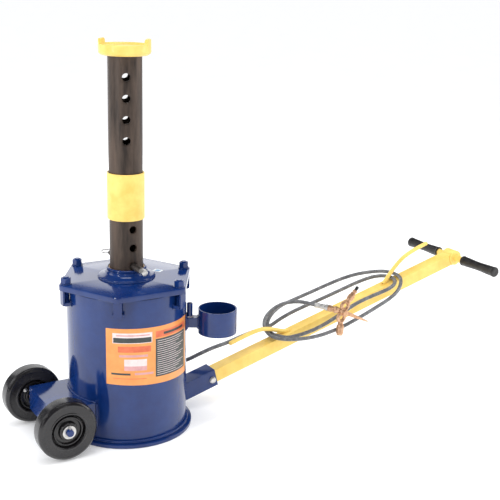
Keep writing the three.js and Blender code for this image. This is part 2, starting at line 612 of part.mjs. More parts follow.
// Lever valve on the hose's end. Its casting has an eye above and an eye below the middle: the plug for
// the shop air line grows from the upper eye and the bleed knob from the lower one.
function makeValve() {
  const end = hoseCurve.getPointAt(1);
  const heading = hoseCurve.getTangentAt(1);
  const along = (distance) => end.clone().addScaledVector(heading, distance).toArray();
  const fitting = join([bar(along(GAP), along(36), 7.8, SMALL), bar(along(35), along(44), 10.4, 6)]);
  place(handle, 'hose_fitting', fitting, zinc);
  const centre = new THREE.Vector3(...along(VALVE_REACH));
  const upperEye = centre.clone().add(new THREE.Vector3(...UPPER_EYE));
  const lowerEye = centre.clone().add(new THREE.Vector3(...LOWER_EYE));
  const plugWay = new THREE.Vector3(...PLUG_WAY).normalize();
  const knobWay = new THREE.Vector3(...KNOB_WAY).normalize();
  const leverWay = new THREE.Vector3(...LEVER_WAY).normalize();
  const from = (start, way, distance) => start.clone().addScaledVector(way, distance).toArray();
  const eye = (at) => new THREE.TorusGeometry(EYE_R, EYE_TUBE_R, 8, 16).rotateX(Math.PI / 2).translate(at.x, at.y, at.z);
  const body = join([
    bar(along(44 + GAP), along(VALVE_REACH - 8), 9.5, SMALL),
    new THREE.SphereGeometry(BALL_R, SMALL, 8).translate(centre.x, centre.y, centre.z),
    eye(upperEye),
    eye(lowerEye),
    bar(from(upperEye, plugWay, 10), from(upperEye, plugWay, 24), 9, SMALL),
    bar(from(lowerEye, knobWay, 10), from(lowerEye, knobWay, 20), 9, SMALL),
  ]);
  place(handle, 'valve_body', body, brass);
  const plug = join([
    bar(from(upperEye, plugWay, 24 + GAP), from(upperEye, plugWay, 38), 11, 6),
    bar(from(upperEye, plugWay, 37), from(upperEye, plugWay, 56), 8, SMALL),
    bar(from(upperEye, plugWay, 55), from(upperEye, plugWay, 70), 5, SMALL),
  ]);
  place(handle, 'air_plug', plug, brass);
  const knob = bar(from(lowerEye, knobWay, 20 + GAP), from(lowerEye, knobWay, 55), 11.5, SMALL + 4);
  place(handle, 'bleed_knob', knob, brass);
  const face = new THREE.Vector3(0, -1, 0);
  const middle = from(centre, face, BALL_R + GAP + 3.5);
  const lever = join([
    bar(from(centre, face, BALL_R + GAP), from(centre, face, BALL_R + GAP + 7), 9, SMALL),
    bar(middle, from(new THREE.Vector3(...middle), leverWay, LEVER_LONG), 3.4, 8),
  ]);
  place(handle, 'valve_lever', lever, brass);
}

makeBarrel();
makeTopPlate();
makeLugs();
makePlateBolts();
makeHub();
makeRam();
makeExtension();
makeSaddle();
makeLockPin();
makeWheelBracket();
makeWheels();
makeSocket();
makeHandle();
makeHooks();
makeStorageCup();
makeHose();
makeInlet();
makeValve();

export default group;
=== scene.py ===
import math

import bmesh
import bpy
from mathutils import Matrix, Vector


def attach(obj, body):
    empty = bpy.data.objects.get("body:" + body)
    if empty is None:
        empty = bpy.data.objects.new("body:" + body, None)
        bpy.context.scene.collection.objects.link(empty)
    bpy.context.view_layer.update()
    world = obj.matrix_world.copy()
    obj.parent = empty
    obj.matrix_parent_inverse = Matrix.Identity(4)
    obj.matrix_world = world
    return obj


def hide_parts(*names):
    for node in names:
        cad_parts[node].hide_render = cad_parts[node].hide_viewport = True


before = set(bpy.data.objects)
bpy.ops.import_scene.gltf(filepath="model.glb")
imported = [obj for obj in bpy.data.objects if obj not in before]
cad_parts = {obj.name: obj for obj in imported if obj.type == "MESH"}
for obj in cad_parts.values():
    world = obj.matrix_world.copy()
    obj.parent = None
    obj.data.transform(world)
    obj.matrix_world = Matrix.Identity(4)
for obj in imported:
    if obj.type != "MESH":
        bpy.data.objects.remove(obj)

scene = bpy.context.scene
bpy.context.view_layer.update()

# ---------------------------------------------------------------- driving dimensions
MM = 0.001
BARREL_R = 161.925
BORE_R = 152.4
BASE_R = 177.8
BASE_T = 10.0
PLATE_R = 189.0
PLATE_BOTTOM = 409.0
PLATE_TOP = 425.0
PLATE_TURN = math.radians(-2)
BOLT_CIRCLE_R = 171.0
HUB_TOP = 454.0
BUSHING_R = 48.0

RAM_R = 44.45
RAM_BORE_R = 36.85
RAM_FOOT = 90.3
RAM_TOP = 650.0
HOLE_R = 10.3
RAM_HOLES = [562.8 - 50 * k for k in range(9)]
EXTENSION_HOLES = [960 - 54 * k for k in range(4)]
EXTENSION_TURN = math.radians(-20.6)
EXTENSION_TOP = 1012.0
COLLAR_R = 49.6
COLLAR_BOTTOM = 587.0
COLLAR_TOP = 711.0
SADDLE_R = 67.5
SADDLE_TOP = 1040.0
SADDLE_LUG = 13.0
SADDLE_TURN = math.radians(-32)

PIN_R = 8.9
PIN_Z = 463.2
RING_Y = 121.0
RING_R = 19.0

BRACKET_HALF = 93.0
BRACKET_BOTTOM = 52.0
BRACKET_TOP = 117.0
AXLE_X = -233.0
AXLE_Z = 82.4
AXLE_R = 9.5
AXLE_END = 163.0
WHEEL_R = 79.4
WHEEL_IN = 102.2
WHEEL_OUT = 151.0

HANDLE_Z = 12.5
HANDLE_RISE = math.atan(0.263)
TUBE_HALF = 19.05
SOCKET_HALF = 25.4
SOCKET_BOLT = (266.0, -2.0)
BAR_S = 1224.0
BAR_R = 11.1
BAR_HALF = 196.0
BOSS_R = 24.0
BOSS_HALF = 22.0
GRIP_R = 15.5
GRIP_IN = 58.0
GRIP_OUT = 203.6
GRIP_SIDES = 96
GRIP_FLUTES = 24
HOOK_R = 6.35

CUP_TURN = math.radians(-30)
CUP_CENTRE_R = 247.0
CUP_R = 53.3
CUP_WALL = 3.6
CUP_BOTTOM = 268.0
CUP_TOP = 337.0
ARM_Z = 297.0
STUB_R = 8.0
STUB_TOP = 350.0
STUB_CENTRE_R = 170.925

HOSE_D = 11.6
ELBOW_REACH = 26.0
VALVE_REACH = 90.0
BALL_R = 11.0
EYE_R = 12.0
EYE_TUBE_R = 5.4
LUG_BOTTOM = 368.0
LUG_OUTER = 184.0
BARE_CORNER = 4                     # the front corner of the top plate has no stud
LABEL_START = -134.4                # degrees round the barrel
LABEL_SWEEP = 94.4
LABEL_BOTTOM = 178.5
LABEL_TOP = 333.0

HANDLE = Matrix.Translation((0, 0, HANDLE_Z * MM)) @ Matrix.Rotation(-HANDLE_RISE, 4, "Y")
CUP = Matrix.Rotation(CUP_TURN, 4, "Z") @ Matrix.Translation((CUP_CENTRE_R * MM, 0, 0))
WORLD = Matrix.Identity(4)
ALONG_Y = Matrix.Rotation(-math.pi / 2, 4, "X")


# ---------------------------------------------------------------- camera
def make_camera():
    """Camera that frames the whole jack from its near left."""
    data = bpy.data.cameras.new("camera")
    data.sensor_width = 36
    data.lens = 70.97
    data.clip_start = 0.05
    data.clip_end = 60
    camera = bpy.data.objects.new("camera", data)
    scene.collection.objects.link(camera)
    right = Vector((0.8509, -0.5247, 0.0257)).normalized()
    forward = Vector((0.5107, 0.8148, -0.2743)).normalized()
    up = right.cross(forward).normalized()
    right = forward.cross(up)
    axes = Matrix((right, up, -forward)).transposed().to_4x4()
    camera.matrix_world = Matrix.Translation((-1.0672, -2.3260, 1.2302)) @ axes
    scene.camera = camera


# ---------------------------------------------------------------- materials
def put(node, **values):
    """Sets a node's own sockets. An underscore stands for a space in a socket's name."""
    for name, value in values.items():
        node.inputs[name.replace("_", " ")].default_value = value


def surface(name, dark, light, roughness, metallic=0.0, coat=0.0, grain=18.0, stretch=(1, 1, 1),
            fine=900.0, strength=0.05, specular=0.5):
    """A finish with drifting colour and roughness from one noise, and a fine bump from another."""
    material = bpy.data.materials.new(name)
    material.use_nodes = True
    nodes = material.node_tree.nodes
    shader = nodes["Principled BSDF"]
    put(shader, Metallic=metallic, Coat_Weight=coat, Coat_Roughness=0.06, Specular_IOR_Level=specular)

    def add(kind, **values):
        node = nodes.new("ShaderNode" + kind)
        put(node, **values)
        return node

    def join(source, output, target, entry):
        material.node_tree.links.new(source.outputs[output], target.inputs[entry])

    place = add("TexCoord")
    mapping = add("Mapping", Scale=stretch)
    join(place, "Object", mapping, "Vector")
    drift = add("TexNoise", Scale=grain, Detail=7, Roughness=0.62)
    join(mapping, "Vector", drift, "Vector")
    ramp = add("ValToRGB")
    for stop, position, colour in zip(ramp.color_ramp.elements, (0.36, 0.66), (dark, light)):
        stop.position = position
        stop.color = (*colour, 1)
    join(drift, "Fac", ramp, "Fac")
    join(ramp, "Color", shader, "Base Color")
    gloss = add("MapRange", From_Min=0.3, From_Max=0.7, To_Min=roughness[0], To_Max=roughness[1])
    join(drift, "Fac", gloss, "Value")
    join(gloss, "Result", shader, "Roughness")
    grit = add("TexNoise", Scale=fine, Detail=3)
    join(mapping, "Vector", grit, "Vector")
    bump = add("Bump", Strength=strength, Distance=0.0006)
    join(grit, "Fac", bump, "Height")
    join(bump, "Normal", shader, "Normal")
    return material


BLUE = surface("blue_enamel", (0.003, 0.018, 0.104), (0.007, 0.033, 0.156), (0.10, 0.19), coat=0.14,
               grain=9, fine=260, strength=0.03)
YELLOW = surface("yellow_enamel", (0.80, 0.53, 0.105), (0.93, 0.66, 0.17), (0.34, 0.52), coat=0.15,
                 grain=22, fine=420, strength=0.10)
MILL = surface("oiled_mill_steel", (0.022, 0.014, 0.010), (0.100, 0.068, 0.050), (0.36, 0.56), metallic=0.35,
               grain=34, stretch=(1, 1, 0.16), fine=700, strength=0.16)
PIN_STEEL = surface("pin_steel", (0.07, 0.06, 0.055), (0.17, 0.15, 0.14), (0.30, 0.46), metallic=0.8,
                    grain=60, stretch=(1, 0.3, 1), fine=900, strength=0.12)
ZINC = surface("zinc_plate", (0.50, 0.49, 0.47), (0.72, 0.71, 0.69), (0.24, 0.42), metallic=0.9, grain=120,
               fine=1500, strength=0.12)
BRASS = surface("satin_brass", (0.50, 0.27, 0.15), (0.78, 0.50, 0.32), (0.24, 0.44), metallic=0.85, grain=90,
                fine=1200, strength=0.14)
BRONZE = surface("oiled_bronze", (0.30, 0.17, 0.07), (0.46, 0.28, 0.13), (0.32, 0.5), metallic=0.85, grain=70,
                 fine=900, strength=0.12)
TYRE = surface("moulded_black_rubber", (0.007, 0.006, 0.007), (0.016, 0.015, 0.016), (0.18, 0.34), coat=0.15,
               grain=26, fine=520, strength=0.09)
SEAL = surface("seal_rubber", (0.012, 0.012, 0.013), (0.03, 0.03, 0.032), (0.55, 0.72), grain=60,
               strength=0.1)
GRIP = surface("grip_vinyl", (0.010, 0.009, 0.009), (0.022, 0.020, 0.019), (0.28, 0.44), grain=60, fine=800,
               strength=0.16)
HOSE = surface("hose_rubber", (0.110, 0.112, 0.118), (0.180, 0.182, 0.190), (0.20, 0.32), grain=55, fine=1100,
               strength=0.14)
# Pale weld colour: a painted highlight where the top of the cup arm catches the light round the stub.
PAINTED_HIGHLIGHT_WELD = surface("weld_painted_highlight", (0.36, 0.32, 0.36), (0.62, 0.56, 0.60), (0.35, 0.55), metallic=0.4, grain=160,
               fine=900, strength=0.3)
PAPER = surface("sticker_paper", (0.66, 0.70, 0.72), (0.78, 0.81, 0.83), (0.4, 0.55), grain=80, strength=0.04)
LABEL_ORANGE = surface("label_orange", (0.74, 0.27, 0.060), (0.82, 0.33, 0.085), (0.28, 0.42), coat=0.3,
                       grain=30, fine=500, strength=0.03)


def ink(name, dark, light):
    """A flat printed colour of the label."""
    return surface(name, dark, light, (0.3, 0.45), grain=50, strength=0.03)


LABEL_DARK = ink("label_dark", (0.028, 0.036, 0.036), (0.050, 0.062, 0.060))
LABEL_PALE = ink("label_pale", (0.70, 0.58, 0.56), (0.82, 0.72, 0.70))
LABEL_RED = ink("label_red", (0.62, 0.12, 0.045), (0.74, 0.17, 0.07))
LABEL_MAUVE = ink("label_mauve", (0.56, 0.28, 0.28), (0.68, 0.36, 0.36))
LABEL_BLUE = ink("label_blue", (0.11, 0.26, 0.46), (0.16, 0.34, 0.56))


# ---------------------------------------------------------------- mesh helpers
def polar(radius, a, z):
    """A point in metres, from millimetres and an angle about Z."""
    return Vector((radius * math.cos(a), radius * math.sin(a), z)) * MM


def softened(profile, radius, closed, steps=4):
    """The same outline with each corner rounded by about that radius."""
    points = [Vector(p) for p in profile]
    out = []
    for i, point in enumerate(points):
        if not closed and i in (0, len(points) - 1):
            out.append(point)
            continue
        before = points[i - 1] - point
        after = points[(i + 1) % len(points)] - point
        reach = min(radius, 0.45 * before.length, 0.45 * after.length)
        start = point + before.normalized() * reach
        end = point + after.normalized() * reach
        for k in range(steps + 1):
            t = k / steps
            out.append(start * (1 - t) ** 2 + point * 2 * t * (1 - t) + end * t ** 2)
    return out


def skin(bm, rows, loop=False, material=0):
    """Quads between rows of points. A row of one point closes an end."""
    made = [[bm.verts.new(point) for point in row] for row in rows]
    pairs = list(zip(made, made[1:]))
    if loop:
        pairs.append((made[-1], made[0]))
    for low, high in pairs:
        count = max(len(low), len(high))
        for i in range(count):
            j = (i + 1) % count
            corners = [low[i % len(low)], low[j % len(low)], high[j % len(high)], high[i % len(high)]]
            unique = list(dict.fromkeys(corners))
            if len(unique) > 2:
                bm.faces.new(unique).material_index = material


def sheet(bm, rows, material=0):
    """Quads between rows of points, open at both ends of each row."""
    made = [[bm.verts.new(point) for point in row] for row in rows]
    for one, two in zip(made, made[1:]):
        for k in range(len(one) - 1):
            bm.faces.new([one[k], one[k + 1], two[k + 1], two[k]]).material_index = material


def band(inner, outer, low, high):
    """The profile of a plain ring or disc."""
    return [(inner, low), (outer, low), (outer, high), (inner, high)]


def turned_rows(profile, sides, at=WORLD, cut=None):
    """Rows of a profile of radius and height turned about Z. cut gives how far a point is let in."""
    rows = []
    for r, z in profile:
        if r < 1e-6:
            rows.append([at @ Vector((0, 0, z * MM))])
            continue
        row = []
        for i in range(sides):
            a = 2 * math.pi * i / sides
            radius = r - cut(r, z, i) if cut else r
            row.append(at @ polar(radius, a, z))
        rows.append(row)
    return rows


def lathe(bm, profile, sides, at, soft, closed=False, steps=4):
    """A turned solid whose profile has its corners rounded by soft. A closed profile makes a ring."""
    skin(bm, turned_rows(softened(profile, soft, closed, steps), sides, at), loop=closed)


def hexagon_rows(corner, low, high, at=WORLD, bore=0.0, sides=48):
    """A hexagon bar with both ends chamfered to a circle, as on a nut or bolt head."""
    flat = corner * math.cos(math.pi / 6)
    rows = [[], [], [], []]
    for i in range(sides):
        a = 2 * math.pi * i / sides
        r = flat / math.cos((a % (math.pi / 3)) - math.pi / 6)
        drop = (r - flat) * 0.55 + 0.15
        end = flat * 0.96
        for row, (radius, z) in zip(rows, ((end, low), (r, low + drop), (r, high - drop), (end, high))):
            row.append(at @ polar(radius, a, z))
    if bore:
        inner = [(bore, high), (bore, low)]
        return rows + turned_rows(inner, sides, at)
    return [[at @ Vector((0, 0, low * MM))]] + rows + [[at @ Vector((0, 0, high * MM))]]


def tube_rows(path, radius, sides):
    """A round section carried along a path without twisting. radius is a number or one number per point."""
    radii = radius if isinstance(radius, list) else [radius] * len(path)
    tangents = []
    for i in range(len(path)):
        ahead = path[min(i + 1, len(path) - 1)]
        behind = path[max(i - 1, 0)]
        tangents.append((ahead - behind).normalized())
    side = tangents[0].orthogonal().normalized()
    rows = [[path[0]]]
    for i, (point, tangent) in enumerate(zip(path, tangents)):
        if i:
            side = tangents[i - 1].rotation_difference(tangent) @ side
        other = tangent.cross(side)
        turns = [2 * math.pi * k / sides for k in range(sides)]
        rows.append([point + (side * math.cos(a) + other * math.sin(a)) * radii[i] for a in turns])
    rows.append([path[-1]])
    return rows


def catmull(points, steps):
    """Points along a centripetal Catmull-Rom curve."""
    padded = [points[0] * 2 - points[1], *points, points[-1] * 2 - points[-2]]
    out = []
    for a, b, c, d in zip(padded, padded[1:], padded[2:], padded[3:]):
        ab = (b - a).length ** 0.5
        bc = (c - b).length ** 0.5
        cd = (d - c).length ** 0.5
        start = ((b - a) / ab - (c - a) / (ab + bc) + (c - b) / bc) * bc
        end = ((c - b) / bc - (d - b) / (bc + cd) + (d - c) / cd) * bc
        for k in range(steps):
            t = k / steps
            out.append(b * (2 * t ** 3 - 3 * t ** 2 + 1) + start * (t ** 3 - 2 * t ** 2 + t)
                       + c * (3 * t ** 2 - 2 * t ** 3) + end * (t ** 3 - t ** 2))
    return out + [points[-1].copy()]


def bead(bm, path, size, pitch, closed):
    """A weld bead along a path in metres, with the ripples of the torch's steps."""
    route = []
    for a, b in zip(path, path[1:]):
        count = max(1, round((b - a).length / (pitch * MM / 4)))
        route += [a.lerp(b, k / count) for k in range(count)]
    if not closed:
        route.append(path[-1])
    radii = []
    for i in range(len(route)):
        ripple = abs(math.cos(math.pi * i / 4))
        wander = 0.06 * math.sin(i * 0.37) + 0.04 * math.sin(i * 0.113)
        radii.append(size * MM * (0.84 + 0.14 * ripple + wander))
    rows = tube_rows(route, radii, 10)
    skin(bm, rows[1:-1] if closed else rows, loop=closed)


def circle(radius, z, count, start=0.0, end=2 * math.pi):
    """A level arc of points in metres."""
    turns = [start + (end - start) * i / count for i in range(count + 1)]
    return [polar(radius, a, z) for a in turns]


def part_along(offset, way):
    """The part of an offset that lies along a unit direction."""
    return way * offset.dot(way)


def along(origin, way):
    """A frame in metres whose Z runs along way from origin."""
    return Matrix.Translation(origin) @ Vector((0, 0, 1)).rotation_difference(way).to_matrix().to_4x4()


def piece(name, bm, materials, nodes=(), body="tank", sharp=34):
    """Finishes a mesh, lets it ride on a body and hides the CAD nodes it replaces."""
    materials = materials if isinstance(materials, list) else [materials]
    bmesh.ops.recalc_face_normals(bm, faces=bm.faces[:])
    mesh = bpy.data.meshes.new(name)
    bm.to_mesh(mesh)
    bm.free()
    for material in materials:
        mesh.materials.append(material)
    mesh.shade_smooth()
    mesh.set_sharp_from_angle(angle=math.radians(sharp))
    made = bpy.data.objects.new(name, mesh)
    scene.collection.objects.link(made)
    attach(made, body)
    if nodes:
        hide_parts(*nodes)
    return made


def turned(name, profile, material, nodes=(), at=WORLD, sides=128, closed=True, soft=0.8, body="tank",
           steps=4, sharp=34):
    """One turned solid as a piece."""
    bm = bmesh.new()
    lathe(bm, profile, sides, at, soft, closed, steps)
    return piece(name, bm, material, nodes, body, sharp)


def weld(name, beads, material=BLUE):
    """Beads on the fixed body, each a path, a size, a pitch and whether it closes on itself."""
    bm = bmesh.new()
    for path, size, pitch, closed in beads:
        bead(bm, path, size, pitch, closed)
    piece(name, bm, material, sharp=60)


def square_points(half, steps, height=0.0):
    """Even steps round a square of that half side, centred at a height."""
    corners = [(-half, -half), (half, -half), (half, half), (-half, half), (-half, -half)]
    out = []
    for (y0, z0), (y1, z1) in zip(corners, corners[1:]):
        out += [(y0 + (y1 - y0) * k / steps, height + z0 + (z1 - z0) * k / steps) for k in range(steps)]
    return out


def refined(node, material, width, segments=3):
    """A copy of a CAD node with its triangles merged into plain faces and its edges rounded."""
    bm = bmesh.new()
    bm.from_mesh(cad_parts[node].data)
    bmesh.ops.remove_doubles(bm, verts=bm.verts[:], dist=3e-6)
    bmesh.ops.dissolve_limit(bm, angle_limit=math.radians(1.5), verts=bm.verts[:], edges=bm.edges[:])
    made = piece(f"{node}_rounded", bm, material, [node])
    edge = made.modifiers.new("edges", "BEVEL")
    edge.width = width * MM
    edge.segments = segments
    edge.limit_method = "ANGLE"
    edge.angle_limit = math.radians(32)
    shade = made.modifiers.new("shade", "WEIGHTED_NORMAL")
    shade.keep_sharp = True
    return made


def repaint(node, material):
    """A CAD node whose shape is right keeps it and takes the better finish."""
    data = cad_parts[node].data
    data.materials.clear()
    data.materials.append(material)


# ---------------------------------------------------------------- hose
def on_handle(s, y, h):
    """A point in metres, from millimetres along the handle, across it and above its axis."""
    return HANDLE @ (Vector((s, y, h)) * MM)


# along the handle, across it and above its axis, from the elbow to the valve
HOSE_ROUTE = [
    (144, 136, 4), (152, 131.5, 17), (165, 122, 28.5), (185, 106, 36.5), (210, 85, 40), (240, 61, 45),
    (277, 40, 57), (314, 26, 64), (358, 16, 65), (407, 14.5, 64), (450, 18, 59), (484, 31.5, 47),
    (498, 42.5, 38.5), (516, 50, 32.5), (537, 54, 31), (568, 55, 35.5), (605, 56.5, 38),
    (647, 57.5, 38), (727, 60, 34), (807, 61, 32), (870, 61, 31), (919, 55.5, 30), (945, 47, 28.5),
    (964, 28, 27.5), (971, 3, 27), (964, -23, 26.5), (945, -42, 25.8), (919, -49, 25), (880, -47.5, 25),
    (850, -44, 25), (793, -37, 21), (720, -36, 10), (660, -36, 4), (605, -37, 6), (560, -36.5, 13),
    (534, -33, 18.5), (514.5, -19, 26.8), (505, -1, 31), (503.5, 18, 36.5), (510.5, 36, 43.5),
    (525.5, 53, 49.5), (548, 69, 54), (577, 82, 57), (612, 95, 54.5), (664, 104, 49), (724, 108, 45),
    (790, 109, 43), (850, 107, 41), (905, 99, 37), (952, 80, 32), (981, 54, 29.5), (993, 25, 27.5),
    (993, -3, 26.8), (984, -28, 25), (965, -49, 20), (938, -65, 13), (899, -75, 8), (850, -80, 5),
    (771, -84, 1), (694, -83, -2), (622, -77, 2), (566, -67, 12), (524, -47, 22), (505, -30, 28),
    (493.5, -12.5, 34), (490, 5, 42.5), (493.5, 22, 53), (506, 38, 63.5), (526, 48, 73), (552, 52, 80),
    (579, 52, 82.5), (602, 45.5, 82.5), (620, 33, 81.5), (633.5, 17, 80.2), (644.5, -3, 77.6),
    (656, -22, 73.2),
]
hose_points = [on_handle(*point) for point in HOSE_ROUTE]
hose_line = catmull(hose_points, 6)
hose_end = hose_points[-1]
hose_heading = (hose_points[-1] - hose_points[-2]).normalized()


def make_hose():
    """The whole hose as one bevelled curve."""
    data = bpy.data.curves.new("hose", "CURVE")
    data.dimensions = "3D"
    data.bevel_depth = HOSE_D / 2 * MM
    data.bevel_resolution = 5
    data.use_fill_caps = True
    spline = data.splines.new("POLY")
    spline.points.add(len(hose_line) - 1)
    for target, point in zip(spline.points, hose_line):
        target.co = (*point, 1)
    spline.use_smooth = True
    data.materials.append(HOSE)
    hose = bpy.data.objects.new("hose", data)
    scene.collection.objects.link(hose)
    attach(hose, "tank")
    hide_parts("hose_first_turn", "hose_second_turn")
    return hose


def make_elbow():
    """Street elbow at the foot of the barrel, with the crimped sleeve on the hose's first end."""
    start = hose_points[0]
    heading = (hose_points[1] - hose_points[0]).normalized()
    corner = start - heading * ELBOW_REACH * MM
    outward = Vector((corner.x, corner.y, 0)).normalized()
    level = Vector((0, 0, corner.z))
    wall = level + outward * (BARREL_R + 0.4) * MM
    bm = bmesh.new()
    turn = [wall, corner - outward * 9 * MM, corner - outward * 3 * MM, corner + heading * 3 * MM,
            corner + heading * 9 * MM, start - heading * 0.3 * MM]
    skin(bm, tube_rows(catmull(turn, 8), 7.2 * MM, 24))
    nut = along(level + outward * (BARREL_R + 1) * MM, outward)
    skin(bm, hexagon_rows(11, 0, 11, nut))
    lip = along(corner + heading * 10 * MM, heading)
    lathe(bm, band(0, 8.6, 0, 15.4), 32, lip, 0.8)
    return piece("elbow_cast", bm, BRASS, ["inlet_elbow"])


def make_hose_end():
    """Crimped sleeve, then the hexagon of the swivel that screws into the valve."""
    at = along(hose_end, hose_heading)
    bm = bmesh.new()
    ribs = []
    for k in range(4):
        z = 7 + 5.6 * k
        ribs += [(8.0, z), (7.2, z + 0.8), (7.2, z + 2.6), (8.0, z + 3.4)]
    sleeve = [(0, 0.3), (7.4, 0.3), (8.0, 1.2), *ribs, (8.0, 33), (6.8, 35), (6.8, 37), (0, 37)]
    lathe(bm, sleeve, 48, at, 0.35, steps=2)
    skin(bm, hexagon_rows(10.4, 35.5, 44, at))
    return piece("hose_sleeve", bm, ZINC, ["hose_fitting"])


# ---------------------------------------------------------------- valve
valve_centre = hose_end + hose_heading * VALVE_REACH * MM
TURN = HANDLE.to_3x3()
UPPER_EYE = valve_centre + TURN @ Vector((12, 0, 14)) * MM
LOWER_EYE = valve_centre + TURN @ Vector((-9, 0, -17)) * MM
PLUG_WAY = TURN @ Vector((57, 0, 40)).normalized()
KNOB_WAY = TURN @ Vector((-20, -5, -50)).normalized()
LEVER_WAY = TURN @ Vector((77, 0, -66)).normalized()
LEVER_LONG = 98.0
FACE = Vector((0, -1, 0))


def make_valve():
    """Cast body with an eye above and an eye below its ball; the plug and the knob grow from the eyes."""
    bm = bmesh.new()
    spine = along(hose_end, hose_heading)
    skin(bm, hexagon_rows(10.6, 44.4, 55, spine))
    neck = [(0, 54), (8.4, 54), (8.4, 62), (10.4, 65), (10.4, 71), (8.6, 74), (8.6, 82), (0, 82)]
    lathe(bm, neck, 40, spine, 1)
    ball = [(BALL_R * math.sin(math.pi * k / 24), -BALL_R * math.cos(math.pi * k / 24)) for k in range(25)]
    cap = along(valve_centre, FACE)
    skin(bm, turned_rows(ball, 48, cap))
    lathe(bm, band(0, 8, 7, 11), 40, cap, 0.8)
    for centre in (UPPER_EYE, LOWER_EYE):
        section = [(EYE_R + EYE_TUBE_R * math.cos(math.pi * k / 8), EYE_TUBE_R * math.sin(math.pi * k / 8))
                   for k in range(16)]
        skin(bm, turned_rows(section, 56, along(centre, FACE)), loop=True)
    arm = along(UPPER_EYE, PLUG_WAY)
    stem = [(0, 10), (9, 10), (9, 15), (7.6, 16.5), (7.6, 19.5), (9, 21), (9, 24), (0, 24)]
    lathe(bm, stem, 40, arm, 0.8)
    foot = along(LOWER_EYE, KNOB_WAY)
    stem = [(0, 10), (9, 10), (9, 13.5), (7.6, 15), (7.6, 17), (9, 18.5), (9, 20), (0, 20)]
    lathe(bm, stem, 40, foot, 0.8)
    body = piece("valve_casting", bm, BRASS, ["valve_body"])

    bm = bmesh.new()
    skin(bm, hexagon_rows(11, 24.3, 38, arm))
    nipple = [(0, 37), (8, 37), (8, 45), (6.4, 46.5), (5.6, 48.5), (6.4, 50.5), (7.6, 52), (7.6, 54.5),
              (5, 56), (5, 57), (0, 57)]
    lathe(bm, nipple, 40, arm, 0.5, steps=3)
    plug = piece("plug_brass", bm, BRASS, ["air_plug"])
    tip = [(0, 57), (5, 57), (5, 68.5), (4, 70), (1.8, 70), (1.8, 64), (0, 64)]
    point = turned("plug_tip", tip, SEAL, (), arm, 32, closed=False, soft=0.5, steps=3)

    bm = bmesh.new()
    outline = [(0, 20.3), (8, 20.3), (8, 23), (11.2, 24.2), (11.2, 48), (9.4, 50), (9.4, 53.6), (7, 55),
               (0, 55)]

    def knurl(r, z, i):
        return 0.45 * (i % 2) if 25 < z < 47 and r > 11 else 0.0

    skin(bm, turned_rows(softened(outline, 0.7, False, 3), 96, foot, knurl))
    knob = piece("knob_knurled", bm, BRASS, ["bleed_knob"], body="bleed_knob", sharp=50)

    hub = valve_centre + FACE * (BALL_R + 0.3) * MM
    bm = bmesh.new()
    disc = [(0, 0), (9, 0), (9, 6), (8, 7), (4, 7), (4, 6.2), (0, 6.2)]
    lathe(bm, disc, 40, along(hub, FACE), 0.6, steps=3)
    middle = hub + FACE * 3.5 * MM
    count = 28
    path, radii = [], []
    for k in range(count + 1):
        t = k / count
        path.append(middle + LEVER_WAY * LEVER_LONG * MM * t)
        radii.append(MM * (7.0 - 4.8 * t if t < 0.94 else 2.5 * (1 - ((t - 0.94) / 0.06) ** 2 * 0.6)))
    rows = tube_rows(path, radii, 20)
    across = LEVER_WAY.cross(FACE)

    def flattened(point):
        offset = point - middle
        broad = part_along(offset, LEVER_WAY) + part_along(offset, across)
        return middle + broad + part_along(offset, FACE) * 0.55

    skin(bm, [[flattened(point) for point in row] for row in rows])
    lever = piece("lever_tapered", bm, BRASS, ["valve_lever"], body="valve_lever")
    return [body, plug, point, knob, lever]


# ---------------------------------------------------------------- air cylinder
def make_cylinder():
    """Base plate, barrel with the weld at its foot, and the gasket on its top."""
    turned("base_disc", band(0, BASE_R, 0, BASE_T), BLUE, ["base_plate"], sides=192, closed=False, soft=1.6)
    top = PLATE_BOTTOM - 2.1
    turned("barrel_pipe", band(BORE_R, BARREL_R, BASE_T + 0.3, top), BLUE, ["barrel"], sides=192)
    weld("foot_weld", [(circle(BARREL_R + 1.4, BASE_T + 2.4, 240), 5.6, 5.0, True)])
    gasket = band(BORE_R, BARREL_R - 0.5, top + 0.3, top + 1.8)
    turned("gasket_ring", gasket, SEAL, ["plate_gasket"], sides=160, soft=0.3)


def plate_outline(per_side):
    """Points round the hexagon, each corner cut blunt by two nearby points."""
    corners = []
    blunt = math.radians(0.9)
    for k in range(6):
        turn = PLATE_TURN + k * math.pi / 3
        for side in (-blunt, blunt):
            corners.append(Vector((PLATE_R * math.cos(turn + side), PLATE_R * math.sin(turn + side))))
    out = []
    for i, corner in enumerate(corners):
        following = corners[(i + 1) % len(corners)]
        count = per_side if i % 2 else 2
        out += [corner.lerp(following, k / count) for k in range(count)]
    return out


def make_plate():
    """Hexagonal plate with burnt, slightly rounded edges and the bore for the bushing."""
    outline = plate_outline(14)
    inner = BUSHING_R + 0.4
    mid = PLATE_R * math.cos(math.pi / 6)
    edge = [(0.0, 1.2), (0.35, 0.35), (1.3, 0.0)]
    rim = [(inset, PLATE_TOP - drop) for inset, drop in edge]
    under = [(inset, PLATE_BOTTOM + rise) for inset, rise in edge[::-1]]

    def ring(inset, z):
        return [Vector((p.x, p.y, 0)) * MM * (1 - inset / mid) + Vector((0, 0, z * MM)) for p in outline]

    def bore(radius, z):
        return [Vector((p.x, p.y, 0)).normalized() * radius * MM + Vector((0, 0, z * MM)) for p in outline]

    rows = [ring(inset, z) for inset, z in rim]
    rows += [bore(inner * 1.02, PLATE_TOP), bore(inner, PLATE_TOP - 0.8), bore(inner, PLATE_BOTTOM)]
    rows += [ring(inset, z) for inset, z in under]
    bm = bmesh.new()
    skin(bm, rows, loop=True)
    piece("plate_slab", bm, BLUE, ["top_plate"])


